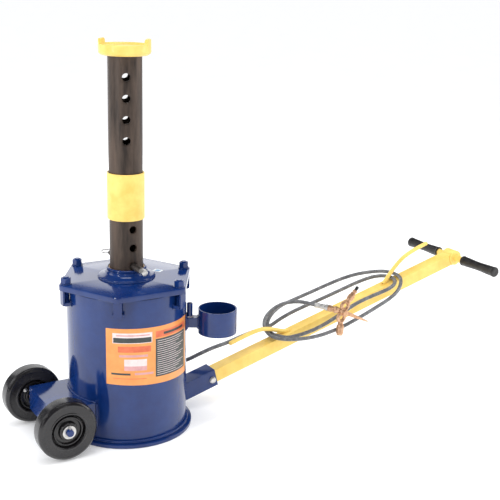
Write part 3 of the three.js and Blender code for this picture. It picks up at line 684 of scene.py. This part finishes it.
def make_plate_bolts():
    """Lugs with their welds, then studs with threads, washers and tall nuts. The front corner has no stud."""
    seat = PLATE_TOP + 0.3
    for k in range(6):
        spin = Matrix.Rotation(PLATE_TURN + k * math.pi / 3, 4, "Z")
        refined(f"plate_lug_{k + 1}", BLUE, 0.9, 2)
        beads = []
        for z in (LUG_BOTTOM - 0.6, LUG_BOTTOM + 9.8):
            path = []
            for y in (-15, -7.5, 0, 7.5, 15):
                path.append(spin @ (Vector((math.sqrt((BARREL_R + 0.6) ** 2 - y * y), y, z)) * MM))
            beads.append((path, 2.1, 3, False))
        crown = [spin @ (Vector((LUG_OUTER - 1.5, y, PLATE_BOTTOM - 1)) * MM) for y in (-9, 9)]
        weld(f"lug_weld_{k + 1}", [*beads, (crown, 1.8, 3, False)])
        if k == BARE_CORNER:
            continue
        at = spin @ Matrix.Translation((BOLT_CIRCLE_R * MM, 0, 0))
        bm = bmesh.new()
        washer = band(8.6, 15, seat, seat + 2.7)
        lathe(bm, washer, 48, at, 0.5, closed=True, steps=3)
        skin(bm, hexagon_rows(13.9, seat + 2.7, seat + 18, at, bore=8.2))
        foot = LUG_BOTTOM + 2
        stud = [(0, foot), (7.4, foot), (8, foot + 1.5)]
        for step in range(28):
            z = LUG_BOTTOM + 10.5 + step
            stud += [(8.0, z), (7.3, z + 0.5)]
        stud += [(8, PLATE_BOTTOM), (8, seat + 18), (7.3, seat + 18.5), (8, seat + 19), (6.8, seat + 20.5),
                 (0, seat + 20.5)]
        skin(bm, turned_rows(stud, 32, at))
        piece(f"corner_stud_{k + 1}", bm, BLUE, [f"plate_bolt_{k + 1}"], sharp=28)


def make_hub():
    """Flanged casting that guides the ram, with its weld and its bushing."""
    seat = PLATE_TOP + 0.3
    inner = BUSHING_R + 0.3
    rises = [
        (inner, 0), (72, 0), (75, 2.6), (74.4, 6.2), (67, 8.2), (61, 10), (57, 13.4), (55, 17),
        (52.6, 19.5), (52.4, 21), (53.4, 22),
    ]
    profile = [(r, seat + rise) for r, rise in rises]
    profile += [(53.5, HUB_TOP - 1.6), (51.6, HUB_TOP), (inner, HUB_TOP)]
    turned("hub_casting", profile, BLUE, ["ram_hub"], soft=1.6)
    weld("hub_weld", [(circle(74.2, PLATE_TOP + 1.4, 160), 3.4, 4.2, True)])
    clear = RAM_R + 0.35
    sleeve = band(clear, BUSHING_R, PLATE_BOTTOM + 1, HUB_TOP - 1)
    turned("bushing_sleeve", sleeve, BRONZE, ["guide_bushing"])


# ---------------------------------------------------------------- ram
def drilled_tube(name, low, high, holes, turn, body, node):
    """A tube with cross holes through both walls, each with a broken edge."""
    half = HOLE_R + 5.5
    cells = 8
    plain = 26
    walls = ((0, 0.0), (cells + plain, math.pi))
    wide = half / RAM_R
    turns = []
    for centre in (0, math.pi):
        turns += [centre - wide + 2 * wide * k / cells for k in range(cells)]
        gap = math.pi - 2 * wide
        turns += [centre + wide + gap * k / plain for k in range(plain)]
    levels = [low + 1.2]
    spans = []
    for z in sorted(holes):
        first = len(levels)
        levels += [z - half + 2 * half * k / cells for k in range(cells + 1)]
        spans.append((first, z))
    levels.append(high - 1.2)
    holed = set()
    for first, z in spans:
        for start, _ in walls:
            for i in range(cells):
                for j in range(cells):
                    holed.add((start + i, first + j))
    bm = bmesh.new()
    count = len(turns)

    def level_ring(radius, z):
        return [bm.verts.new(polar(radius, a + turn, z)) for a in turns]

    def wall(radius):
        grid = [level_ring(radius, z) for z in levels]
        for j in range(len(levels) - 1):
            for i in range(count):
                if (i, j) not in holed:
                    k = (i + 1) % count
                    bm.faces.new([grid[j][i], grid[j][k], grid[j + 1][k], grid[j + 1][i]])
        return grid

    def rim(first, start):
        steps = [(start + i, first) for i in range(cells)]
        steps += [(start + cells, first + j) for j in range(cells)]
        steps += [(start + cells - i, first + cells) for i in range(cells)]
        steps += [(start, first + cells - j) for j in range(cells)]
        return [(i % count, j) for i, j in steps]

    def ring(rim_points, z, centre, hole, radius):
        made = []
        for i, j in rim_points:
            across = (turns[i] - centre + math.pi) % (2 * math.pi) - math.pi
            a = math.atan2(levels[j] - z, across * RAM_R)
            lateral = hole * math.cos(a)
            b = centre + turn + math.asin(lateral / radius)
            made.append(bm.verts.new(polar(radius, b, z + hole * math.sin(a))))
        return made

    def bridge(one, two):
        for i in range(len(one)):
            j = (i + 1) % len(one)
            bm.faces.new([one[i], one[j], two[j], two[i]])

    outer = wall(RAM_R)
    inner = wall(RAM_BORE_R)
    broken_edge = ((HOLE_R + 0.9, RAM_R), (HOLE_R + 0.25, RAM_R - 0.25), (HOLE_R, RAM_R - 0.9),
                   (HOLE_R, RAM_BORE_R))
    for first, z in spans:
        for start, centre in walls:
            points = rim(first, start)
            loops = [[outer[j][i] for i, j in points]]
            loops += [ring(points, z, centre, hole, radius) for hole, radius in broken_edge]
            loops.append([inner[j][i] for i, j in points])
            for one, two in zip(loops, loops[1:]):
                bridge(one, two)
    for row, z in ((0, low), (-1, high)):
        edges = [outer[row], level_ring(RAM_R - 1.2, z), level_ring(RAM_BORE_R + 1.2, z), inner[row]]
        for one, two in zip(edges, edges[1:]):
            bridge(one, two)
    return piece(name, bm, MILL, [node], body, 28)


def make_ram():
    """Ram with its piston, and the extension with the collar that sleeves the joint."""
    drilled_tube("ram_pipe", RAM_FOOT, RAM_TOP, RAM_HOLES, math.pi / 2, "ram", "ram_tube")
    repaint("piston", MILL)
    repaint("piston_cup", SEAL)
    drilled_tube("extension_pipe", RAM_TOP + 0.3, EXTENSION_TOP, EXTENSION_HOLES,
                 math.pi / 2 + EXTENSION_TURN, "extension", "ram_extension")
    inner = RAM_R + 0.3
    collar = [
        (inner, COLLAR_BOTTOM), (COLLAR_R - 0.8, COLLAR_BOTTOM), (COLLAR_R, COLLAR_BOTTOM + 1),
        (COLLAR_R, COLLAR_TOP - 1), (COLLAR_R - 0.8, COLLAR_TOP), (inner + 1.8, COLLAR_TOP),
        (inner, COLLAR_TOP - 1.8),
    ]
    turned("collar_sleeve", collar, YELLOW, ["extension_collar"], body="extension", soft=0.7)


def make_saddle():
    """Cast saddle: a dished disc whose rim rises into two rounded lugs."""
    seat = EXTENSION_TOP + 0.3
    stem = RAM_BORE_R - 0.4
    low = [(0, seat - 32), (stem - 1.5, seat - 32), (stem, seat - 30.5), (stem, seat), (60, seat),
           (SADDLE_R - 1.5, seat + 4.4), (SADDLE_R, seat + 9), (SADDLE_R, SADDLE_TOP - 3)]
    rim = [(SADDLE_R - 0.4, -1.3), (SADDLE_R - 1.4, -0.3), (SADDLE_R - 3, 0), (SADDLE_R - 8, 0),
           (SADDLE_R - 9.6, -0.4), (SADDLE_R - 10.6, -1.6)]
    dish = [(SADDLE_R - 12.5, SADDLE_TOP - 4.2), (SADDLE_R - 15, SADDLE_TOP - 5), (30, SADDLE_TOP - 5),
            (0, SADDLE_TOP - 5)]
    sides = 144
    rows = turned_rows(softened(low, 0.9, False), sides)
    half = math.radians(22)
    fade = math.radians(2.6)
    for r, drop in rim:
        row = []
        for i in range(sides):
            a = 2 * math.pi * i / sides
            off = abs((a - SADDLE_TURN + math.pi / 2) % math.pi - math.pi / 2)
            rise = min(1.0, max(0.0, (half + fade - off) / (2 * fade)))
            rise = rise * rise * (3 - 2 * rise)
            lean = 0.6 * rise if drop > -0.35 else 0.0
            z = SADDLE_TOP + drop + SADDLE_LUG * rise
            row.append(polar(r - lean, a, z))
        rows.append(row)
    rows += turned_rows(dish, sides)
    bm = bmesh.new()
    skin(bm, rows)
    piece("saddle_casting", bm, YELLOW, ["saddle"], body="saddle", sharp=38)


def make_lock_pin():
    """Plain pin with a hexagon tip; its other end is drilled for a split ring."""
    at = Matrix.Translation((0, 0, PIN_Z * MM)) @ ALONG_Y
    shank = [(0, -94), (PIN_R - 0.8, -94), (PIN_R, -92.6), (PIN_R, 96), (PIN_R - 1.4, 99),
             (PIN_R - 1.4, 105.5), (PIN_R - 2.4, 107.8), (0, 107.8)]
    turned("pin_shank", shank, PIN_STEEL, ["lock_pin"], at, 48, closed=False, soft=0.7, body="lock_pin",
           steps=3)
    bm = bmesh.new()
    skin(bm, hexagon_rows(9.3, -114, -93.6, at))
    piece("pin_tip", bm, ZINC, body="lock_pin")
    bm = bmesh.new()
    path = []
    for k in range(193):
        t = k / 192
        a = 4 * math.pi * t - math.pi / 2
        height = -0.85 + 1.7 * min(1, max(0, (t - 0.42) / 0.16))
        path.append(Vector((RING_R * math.cos(a), RING_Y + RING_R * math.sin(a), PIN_Z + height)) * MM)
    skin(bm, tube_rows(path, 0.8 * MM, 10))
    piece("split_ring", bm, ZINC, ["pull_ring"], body="lock_pin", sharp=60)


# ---------------------------------------------------------------- wheels
def make_bracket():
    """Channel that carries the axle, welded to the barrel along its top and both sides."""
    refined("wheel_bracket", BLUE, 1.4)
    edge = math.asin(BRACKET_HALF / BARREL_R)
    beads = [(circle(BARREL_R + 1.2, BRACKET_TOP + 2.2, 60, math.pi - edge, math.pi + edge), 3.2, 4.2, False)]
    for side in (-1, 1):
        y = side * (BRACKET_HALF + 1)
        x = -math.sqrt((BARREL_R + 1.2) ** 2 - y * y)
        beads.append(([Vector((x, y, z)) * MM for z in (BRACKET_BOTTOM, BRACKET_TOP)], 3.0, 4.2, False))
    weld("bracket_weld", beads)


def make_wheels():
    """Moulded wheels: crowned tread, a dished face with a raised ring in it, and a boss round the bushing."""
    axis = Matrix.Translation((AXLE_X * MM, 0, AXLE_Z * MM))
    rod = [(0, -AXLE_END), (AXLE_R - 1.6, -AXLE_END), (AXLE_R, -AXLE_END + 1.6), (AXLE_R, AXLE_END - 1.6),
           (AXLE_R - 1.6, AXLE_END), (0, AXLE_END)]
    turned("axle_rod", rod, BLUE, ["axle"], axis @ ALONG_Y, 56, closed=False, steps=3)
    sunk = [
        (15.3, 1), (22.6, 1), (24, 2.6), (25, 11.2), (27, 12), (34, 12), (35.4, 4.8), (38.8, 4.4),
        (40.2, 12), (42.6, 11.4), (45.6, 1.6), (47.2, 0), (50.5, 0), (51.6, 1.1), (68, 1.6), (70, 1),
        (72.4, 1.4), (77.6, 5), (WHEEL_R, 9.5),
    ]
    face = [(r, WHEEL_OUT - depth) for r, depth in sunk]
    back = [(r, WHEEL_IN + WHEEL_OUT - z - (3 if 24.5 < r < 41 else 0)) for r, z in face[::-1]]
    profile = face + [(WHEEL_R, (WHEEL_IN + WHEEL_OUT) / 2)] + back
    for side, sign in (("near", -1), ("far", 1)):
        out = axis @ Matrix.Rotation(-sign * math.pi / 2, 4, "X")
        body = f"wheel_{side}"
        turned(f"{body}_moulded", profile, TYRE, [body], out, 144, soft=0.9, body=body, steps=3, sharp=30)
        bush = band(AXLE_R + 0.35, 15, WHEEL_IN + 1, WHEEL_OUT - 0.6)
        turned(f"{body}_bush", bush, BRONZE, [f"wheel_bushing_{side}"], out, 64, soft=0.5, body=body)
        bm = bmesh.new()
        nipple = out @ Matrix.Rotation(-sign * math.radians(140), 4, "Z")
        nipple = nipple @ Matrix.Translation((33 * MM, 0, 0))
        skin(bm, hexagon_rows(6, WHEEL_IN + 1, WHEEL_IN + 8.4, nipple))
        stem = [(0, -4.6), (1.4, -4.6), (2.8, -3.4), (3.1, -2), (2.1, -0.8), (2.1, 1.2), (0, 1.2)]
        lathe(bm, [(r, WHEEL_IN + z) for r, z in stem], 28, nipple, 0.4, steps=3)
        piece(f"{body}_nipple", bm, ZINC, [f"grease_nipple_{side}"], body)
        washer = band(AXLE_R + 0.3, 18, WHEEL_OUT, WHEEL_OUT + 3)
        turned(f"{body}_washer", washer, ZINC, [f"axle_washer_{side}"], out, 64, soft=0.5)
        make_cotter(side, sign)


def make_cotter(side, sign):
    """Split pin: a round eye on one end and two legs bent apart on the other."""
    y = sign * (AXLE_END - 4.5)
    bm = bmesh.new()
    for leg in (-1, 1):
        bends = ((0, 17), (2.0, 16.2), (2.3, 14), (0.9, 11.6), (0.8, 8), (0.8, -10.5), (1.4, -12.4),
                 (3.2, -14), (5.4, -14.8))
        path = [Vector((AXLE_X, y, AXLE_Z)) + Vector((leg * x, 0, z)) for x, z in bends]
        skin(bm, tube_rows([p * MM for p in catmull(path, 5)], 0.8 * MM, 10))
    piece(f"split_pin_{side}", bm, ZINC, [f"cotter_pin_{side}"], sharp=60)


# ---------------------------------------------------------------- handle
def grip_groove(r, z, i):
    """Depth of the flutes that run along a grip between its two ends."""
    grooved = r > GRIP_R - 3 and GRIP_IN + 12 < z < GRIP_OUT - 14
    a = 2 * math.pi * i / GRIP_SIDES
    return 0.55 * (0.5 - 0.5 * math.cos(GRIP_FLUTES * a)) if grooved else 0.0


def make_handle():
    """Socket, square tube, cross bolt, boss and crossbar with its two grips."""
    refined("handle_socket", BLUE, 2.6)
    refined("handle_tube", YELLOW, 2.4)
    rise, run = math.sin(HANDLE_RISE), math.cos(HANDLE_RISE)
    path = []
    for y, h in square_points(SOCKET_HALF, 12):
        s = (math.sqrt((BARREL_R + 1.4) ** 2 - y * y) + h * rise) / run
        path.append(on_handle(s, y * 1.03, h * 1.03))
    path.append(path[0].copy())
    weld("socket_weld", [(path, 3.2, 4.2, True)])

    s, h = SOCKET_BOLT
    side = HANDLE @ Matrix.Translation((s * MM, 0, h * MM)) @ ALONG_Y
    bm = bmesh.new()
    skin(bm, hexagon_rows(9.2, -SOCKET_HALF - 6.7, -SOCKET_HALF - 1.6, side))
    washer = band(4.9, 9.8, -SOCKET_HALF - 1.8, -SOCKET_HALF - 0.3)
    lathe(bm, washer, 40, side, 0.3, closed=True, steps=2)
    thread = []
    for step in range(10):
        z = SOCKET_HALF + 3 + step
        thread += [(5.0, z), (4.4, z + 0.5)]
    shank = [(0, -SOCKET_HALF - 2), (5, -SOCKET_HALF - 2), (5, SOCKET_HALF + 2.5), *thread,
             (4.2, SOCKET_HALF + 13), (0, SOCKET_HALF + 13)]
    skin(bm, turned_rows(shank, 32, side))
    piece("cross_bolt", bm, ZINC, ["socket_bolt"], sharp=28)
    bm = bmesh.new()
    skin(bm, hexagon_rows(9.2, SOCKET_HALF + 0.3, SOCKET_HALF + 8.5, side, bore=5.3), loop=True)
    piece("cross_nut", bm, ZINC, ["socket_nut"], sharp=28)

    bar_middle = HANDLE @ Matrix.Translation((BAR_S * MM, 0, 0))
    across = bar_middle @ ALONG_Y
    boss = band(BAR_R + 0.3, BOSS_R, -BOSS_HALF, BOSS_HALF)
    turned("boss_tube", boss, YELLOW, ["crossbar_boss"], across, 96, soft=2.0)
    bar = band(0, BAR_R, -BAR_HALF, BAR_HALF)
    turned("cross_rod", bar, YELLOW, ["crossbar"], across, 64, closed=False, soft=1.2)
    beads = []
    for end in (-1, 1):
        ring = [across @ p for p in circle(BAR_R + 1.2, end * (BOSS_HALF + 0.4), 60)]
        beads.append((ring, 2.0, 3.4, True))
    for h in (-TUBE_HALF, TUBE_HALF):
        s = BAR_S - math.sqrt(BOSS_R ** 2 - h * h)
        beads.append(([on_handle(s, y, h * 1.02) for y in (-18, 18)], 2.2, 3.4, False))
    weld("boss_weld", beads, YELLOW)

    for name, sign in (("near", -1), ("far", 1)):
        outward = bar_middle @ Matrix.Rotation(-sign * math.pi / 2, 4, "X")
        outline = [(BAR_R + 0.3, GRIP_IN), (GRIP_R + 0.4, GRIP_IN), (GRIP_R + 1, GRIP_IN + 1.4),
                   (GRIP_R + 1, GRIP_IN + 4.2), (GRIP_R, GRIP_IN + 6)]
        swell = 22
        for k in range(swell + 1):
            t = k / swell
            z = GRIP_IN + 10 + t * (GRIP_OUT - GRIP_IN - 24)
            outline.append((GRIP_R - 0.9 + 0.9 * math.cos(2 * math.pi * t), z))
        outline += [(GRIP_R, GRIP_OUT - 10), (GRIP_R + 0.9, GRIP_OUT - 7), (GRIP_R + 0.9, GRIP_OUT - 3),
                    (GRIP_R - 1, GRIP_OUT), (0, GRIP_OUT), (0, BAR_HALF + 0.3), (BAR_R + 0.3, BAR_HALF + 0.3)]
        bm = bmesh.new()
        skin(bm, turned_rows(softened(outline, 0.6, True, 2), GRIP_SIDES, outward, grip_groove), loop=True)
        piece(f"grip_{name}_moulded", bm, GRIP, [f"grip_{name}"], sharp=40)


def make_hooks():
    """Bent rods welded to the top of the handle."""
    rods = {
        "hose_hook_lower": [
            (562, 21), (545, 24), (520, 39), (495, 54), (472, 63.5), (448, 67.5), (400, 68.5), (337, 66.5),
        ],
        "hose_hook_upper": [
            (933, 21), (942, 26), (970, 46), (1000, 64), (1028, 76), (1058, 82), (1096, 85.5), (1146, 87),
        ],
    }
    for name, points in rods.items():
        path = [on_handle(s, 0, h) for s, h in points]
        line = catmull(path, 8)
        radii = [HOOK_R * MM] * len(line)
        for k in range(4):
            radii[-1 - k] = HOOK_R * MM * math.sqrt(1 - ((4 - k) / 4.2) ** 2)
        tail = (line[-1] - line[-2]).normalized()
        for k in (1, 2, 3):
            line[-4 + k] = line[-4] + tail * HOOK_R * MM * (k / 3.0) * 0.9
        bm = bmesh.new()
        skin(bm, tube_rows(line, radii, 24))
        piece(f"{name}_rod", bm, YELLOW, [name], sharp=50)
        s = points[0][0]
        lift = 1 if "upper" in name else -1
        ring = []
        for k in range(33):
            a = 2 * math.pi * k / 32
            ring.append(on_handle(s + 3 * lift + 9 * math.cos(a), 6.4 * math.sin(a), 20.0))
        weld(f"{name}_weld", [(ring, 2.2, 3.2, True)], YELLOW)


# ---------------------------------------------------------------- storage cup
def make_cup():
    """Storage cup on its arm, with a short pipe standing on the arm."""
    inner = CUP_R - CUP_WALL
    floor = CUP_BOTTOM + CUP_WALL
    profile = [(0, CUP_BOTTOM), (CUP_R, CUP_BOTTOM), (CUP_R, CUP_TOP), (inner, CUP_TOP), (inner, floor),
               (0, floor)]
    turned("cup_pipe", profile, BLUE, ["storage_cup"], CUP, 144, closed=False, soft=1.0)
    refined("cup_arm", BLUE, 1.6)
    outward = Matrix.Rotation(CUP_TURN, 4, "Z")
    beads = []
    for radius, centre, way, half in ((CUP_R + 1.2, CUP_CENTRE_R, -1, 14.4), (BARREL_R + 1.2, 0, 1, 18.4)):
        path = []
        for y, z in square_points(half, 8, ARM_Z):
            x = centre + way * math.sqrt(radius ** 2 - y * y)
            path.append(outward @ (Vector((x, y, z)) * MM))
        path.append(path[0].copy())
        beads.append((path, 2.6, 3.6, True))
    weld("arm_weld", beads)
    at = outward @ Matrix.Translation((STUB_CENTRE_R * MM, 0, 0))
    high = ARM_Z + 14.3
    tube = [(0, high), (STUB_R, high), (STUB_R, STUB_TOP), (STUB_R - 2.4, STUB_TOP), (STUB_R - 2.4, high + 6),
            (0, high + 6)]
    turned("stub_pipe", tube, BLUE, ["pin_stub"], at, 48, closed=False, soft=0.6)
    # The stub's weld bead is real; its pale colour is a painted highlight.
    weld("stub_weld", [([at @ p for p in circle(STUB_R + 1.0, high + 0.6, 40)], 2.2, 3.0, True)], PAINTED_HIGHLIGHT_WELD)


# ---------------------------------------------------------------- label and sticker
def make_label():
    """Wrapped sheet with plain blocks where printing would be."""
    bm = bmesh.new()
    ground, dark, pale, red, mauve = range(5)
    over, top = 0.22, 0.27

    def spot(u, v, lift):
        a = math.radians(LABEL_START + LABEL_SWEEP * u)
        low = LABEL_BOTTOM - 15.0 * u
        high = LABEL_TOP - 5.0 * u
        radius = BARREL_R + lift
        return polar(radius, a, low + (high - low) * v)

    def block(u0, u1, v0, v1, lift, material):
        count = max(2, round((u1 - u0) * 60))
        edge = 0.04
        rows = []
        for v, height in ((v0, lift - edge), (v0, lift), (v1, lift), (v1, lift - edge)):
            rows.append([spot(u0 + (u1 - u0) * k / count, v, height) for k in range(count + 1)])
        sheet(bm, rows, material)

    block(0, 1, 0, 1, 0.16, ground)
    block(0.066, 0.458, 0.742, 0.922, over, pale)
    block(0.074, 0.450, 0.752, 0.840, top, dark)
    block(0.100, 0.432, 0.868, 0.892, top, mauve)
    block(0.118, 0.445, 0.585, 0.690, over, red)
    block(0.130, 0.412, 0.500, 0.540, over, mauve)
    block(0.178, 0.402, 0.262, 0.462, over, pale)
    block(0.178, 0.402, 0.262, 0.340, top, mauve)
    block(0.050, 0.238, 0.180, 0.214, over, dark)
    block(0.280, 0.470, 0.186, 0.222, over, mauve)
    block(0.070, 0.400, 0.110, 0.122, over, red)
    block(0.496, 0.950, 0.120, 0.786, over, dark)
    block(0.496, 0.950, 0.806, 0.920, over, red)
    block(0.590, 0.900, 0.842, 0.884, top, dark)
    for k in range(17):
        length = 0.40 - 0.05 * ((k * 7) % 4)
        block(0.515, 0.515 + length, 0.150 + 0.037 * k, 0.158 + 0.037 * k, top, pale)
    piece("label_sheet", bm, [LABEL_ORANGE, LABEL_DARK, LABEL_PALE, LABEL_RED, LABEL_MAUVE])


# half width, half depth, underside, top and finish of each layer
STICKER_LAYERS = (
    (13, 11, PLATE_TOP + 0.02, PLATE_TOP + 0.18, 0),
    (6.5, 7.5, PLATE_TOP + 0.18, PLATE_TOP + 0.26, 1),
)


def make_sticker():
    """Small pale sheet with a blue patch, on the top plate."""
    bm = bmesh.new()
    at = Matrix.Translation((96 * MM, 5 * MM, 0)) @ Matrix.Rotation(math.radians(-57), 4, "Z")
    for wide, deep, low, high, material in STICKER_LAYERS:
        corners = []
        for cx, cy, start in ((1, 1, 0), (-1, 1, 90), (-1, -1, 180), (1, -1, 270)):
            for k in range(5):
                a = math.radians(start + 22.5 * k)
                corners.append(((wide - 2) * cx + 2 * math.cos(a), (deep - 2) * cy + 2 * math.sin(a)))
        rows = [[at @ (Vector((x, y, z)) * MM) for x, y in corners] for z in (low, high)]
        skin(bm, rows + [[at @ Vector((0, 0, high * MM))]], material=material)
    piece("plate_sticker", bm, [PAPER, LABEL_BLUE])


# ---------------------------------------------------------------- studio
def make_studio():
    """Pale floor, an even pale world that is dimmer in reflections, and soft boxes."""
    floor_look = surface("studio_floor", (0.90, 0.90, 0.90), (0.93, 0.93, 0.93), (0.8, 0.95),
                         grain=3, strength=0.0, specular=0.1)
    put(floor_look.node_tree.nodes["Principled BSDF"], Emission_Color=(1, 1, 1, 1), Emission_Strength=0.14)
    bm = bmesh.new()
    size = 60.0
    cells = 8
    rows = []
    for j in range(cells + 1):
        rows.append([Vector((-size + 2 * size * i / cells, -size + 2 * size * j / cells, -0.0006))
                     for i in range(cells + 1)])
    sheet(bm, rows)
    mesh = bpy.data.meshes.new("floor")
    bm.to_mesh(mesh)
    bm.free()
    mesh.materials.append(floor_look)
    floor = bpy.data.objects.new("floor", mesh)
    scene.collection.objects.link(floor)

    world = bpy.data.worlds.new("studio")
    scene.world = world
    world.use_nodes = True
    nodes = world.node_tree.nodes
    links = world.node_tree.links
    base = nodes["Background"]
    put(base, Color=(0.97, 0.98, 1.0, 1), Strength=1.0)
    mirrored = nodes.new("ShaderNodeBackground")
    put(mirrored, Color=(0.80, 0.86, 1.0, 1), Strength=0.10)
    path = nodes.new("ShaderNodeLightPath")
    mix = nodes.new("ShaderNodeMixShader")
    links.new(path.outputs["Is Glossy Ray"], mix.inputs["Fac"])
    links.new(base.outputs["Background"], mix.inputs[1])
    links.new(mirrored.outputs["Background"], mix.inputs[2])
    links.new(mix.outputs["Shader"], nodes["World Output"].inputs["Surface"])

    # name, place, target, width, height and power of each soft box
    for name, place, target, wide, high, power in (
        ("overhead", (0.1, -0.4, 3.6), (0.1, 0, 0.3), 2.2, 1.4, 34),
        ("key_left", (-3.3, -0.9, 1.6), (0, 0, 0.45), 0.35, 2.8, 42),
        ("side_left", (-2.4, 1.5, 1.6), (0, 0, 0.5), 1.3, 1.5, 14),
        ("fill_front", (0.7, -3.6, 1.7), (0.2, 0, 0.4), 0.5, 2.0, 6),
        ("rim_right", (2.6, -1.0, 1.6), (0.1, 0, 0.5), 0.9, 2.4, 26),
        ("back_wall", (0.6, 3.6, 1.4), (0.2, 0, 0.5), 4.2, 2.0, 42),
    ):
        data = bpy.data.lights.new(name, "AREA")
        data.shape = "RECTANGLE"
        data.size = wide
        data.size_y = high
        data.energy = power
        lamp = bpy.data.objects.new(name, data)
        scene.collection.objects.link(lamp)
        way = (Vector(target) - Vector(place)).normalized()
        lamp.matrix_world = Matrix.Translation(place) @ way.to_track_quat("-Z", "Y").to_matrix().to_4x4()


make_camera()
hose = make_hose()
hose_pieces = [make_elbow(), make_hose_end(), *make_valve()]
make_cylinder()
make_plate()
make_plate_bolts()
make_hub()
make_ram()
make_saddle()
make_lock_pin()
make_bracket()
make_wheels()
make_handle()
make_hooks()
make_cup()
make_label()
make_sticker()
make_studio()
scene.view_settings.view_transform = "Standard"
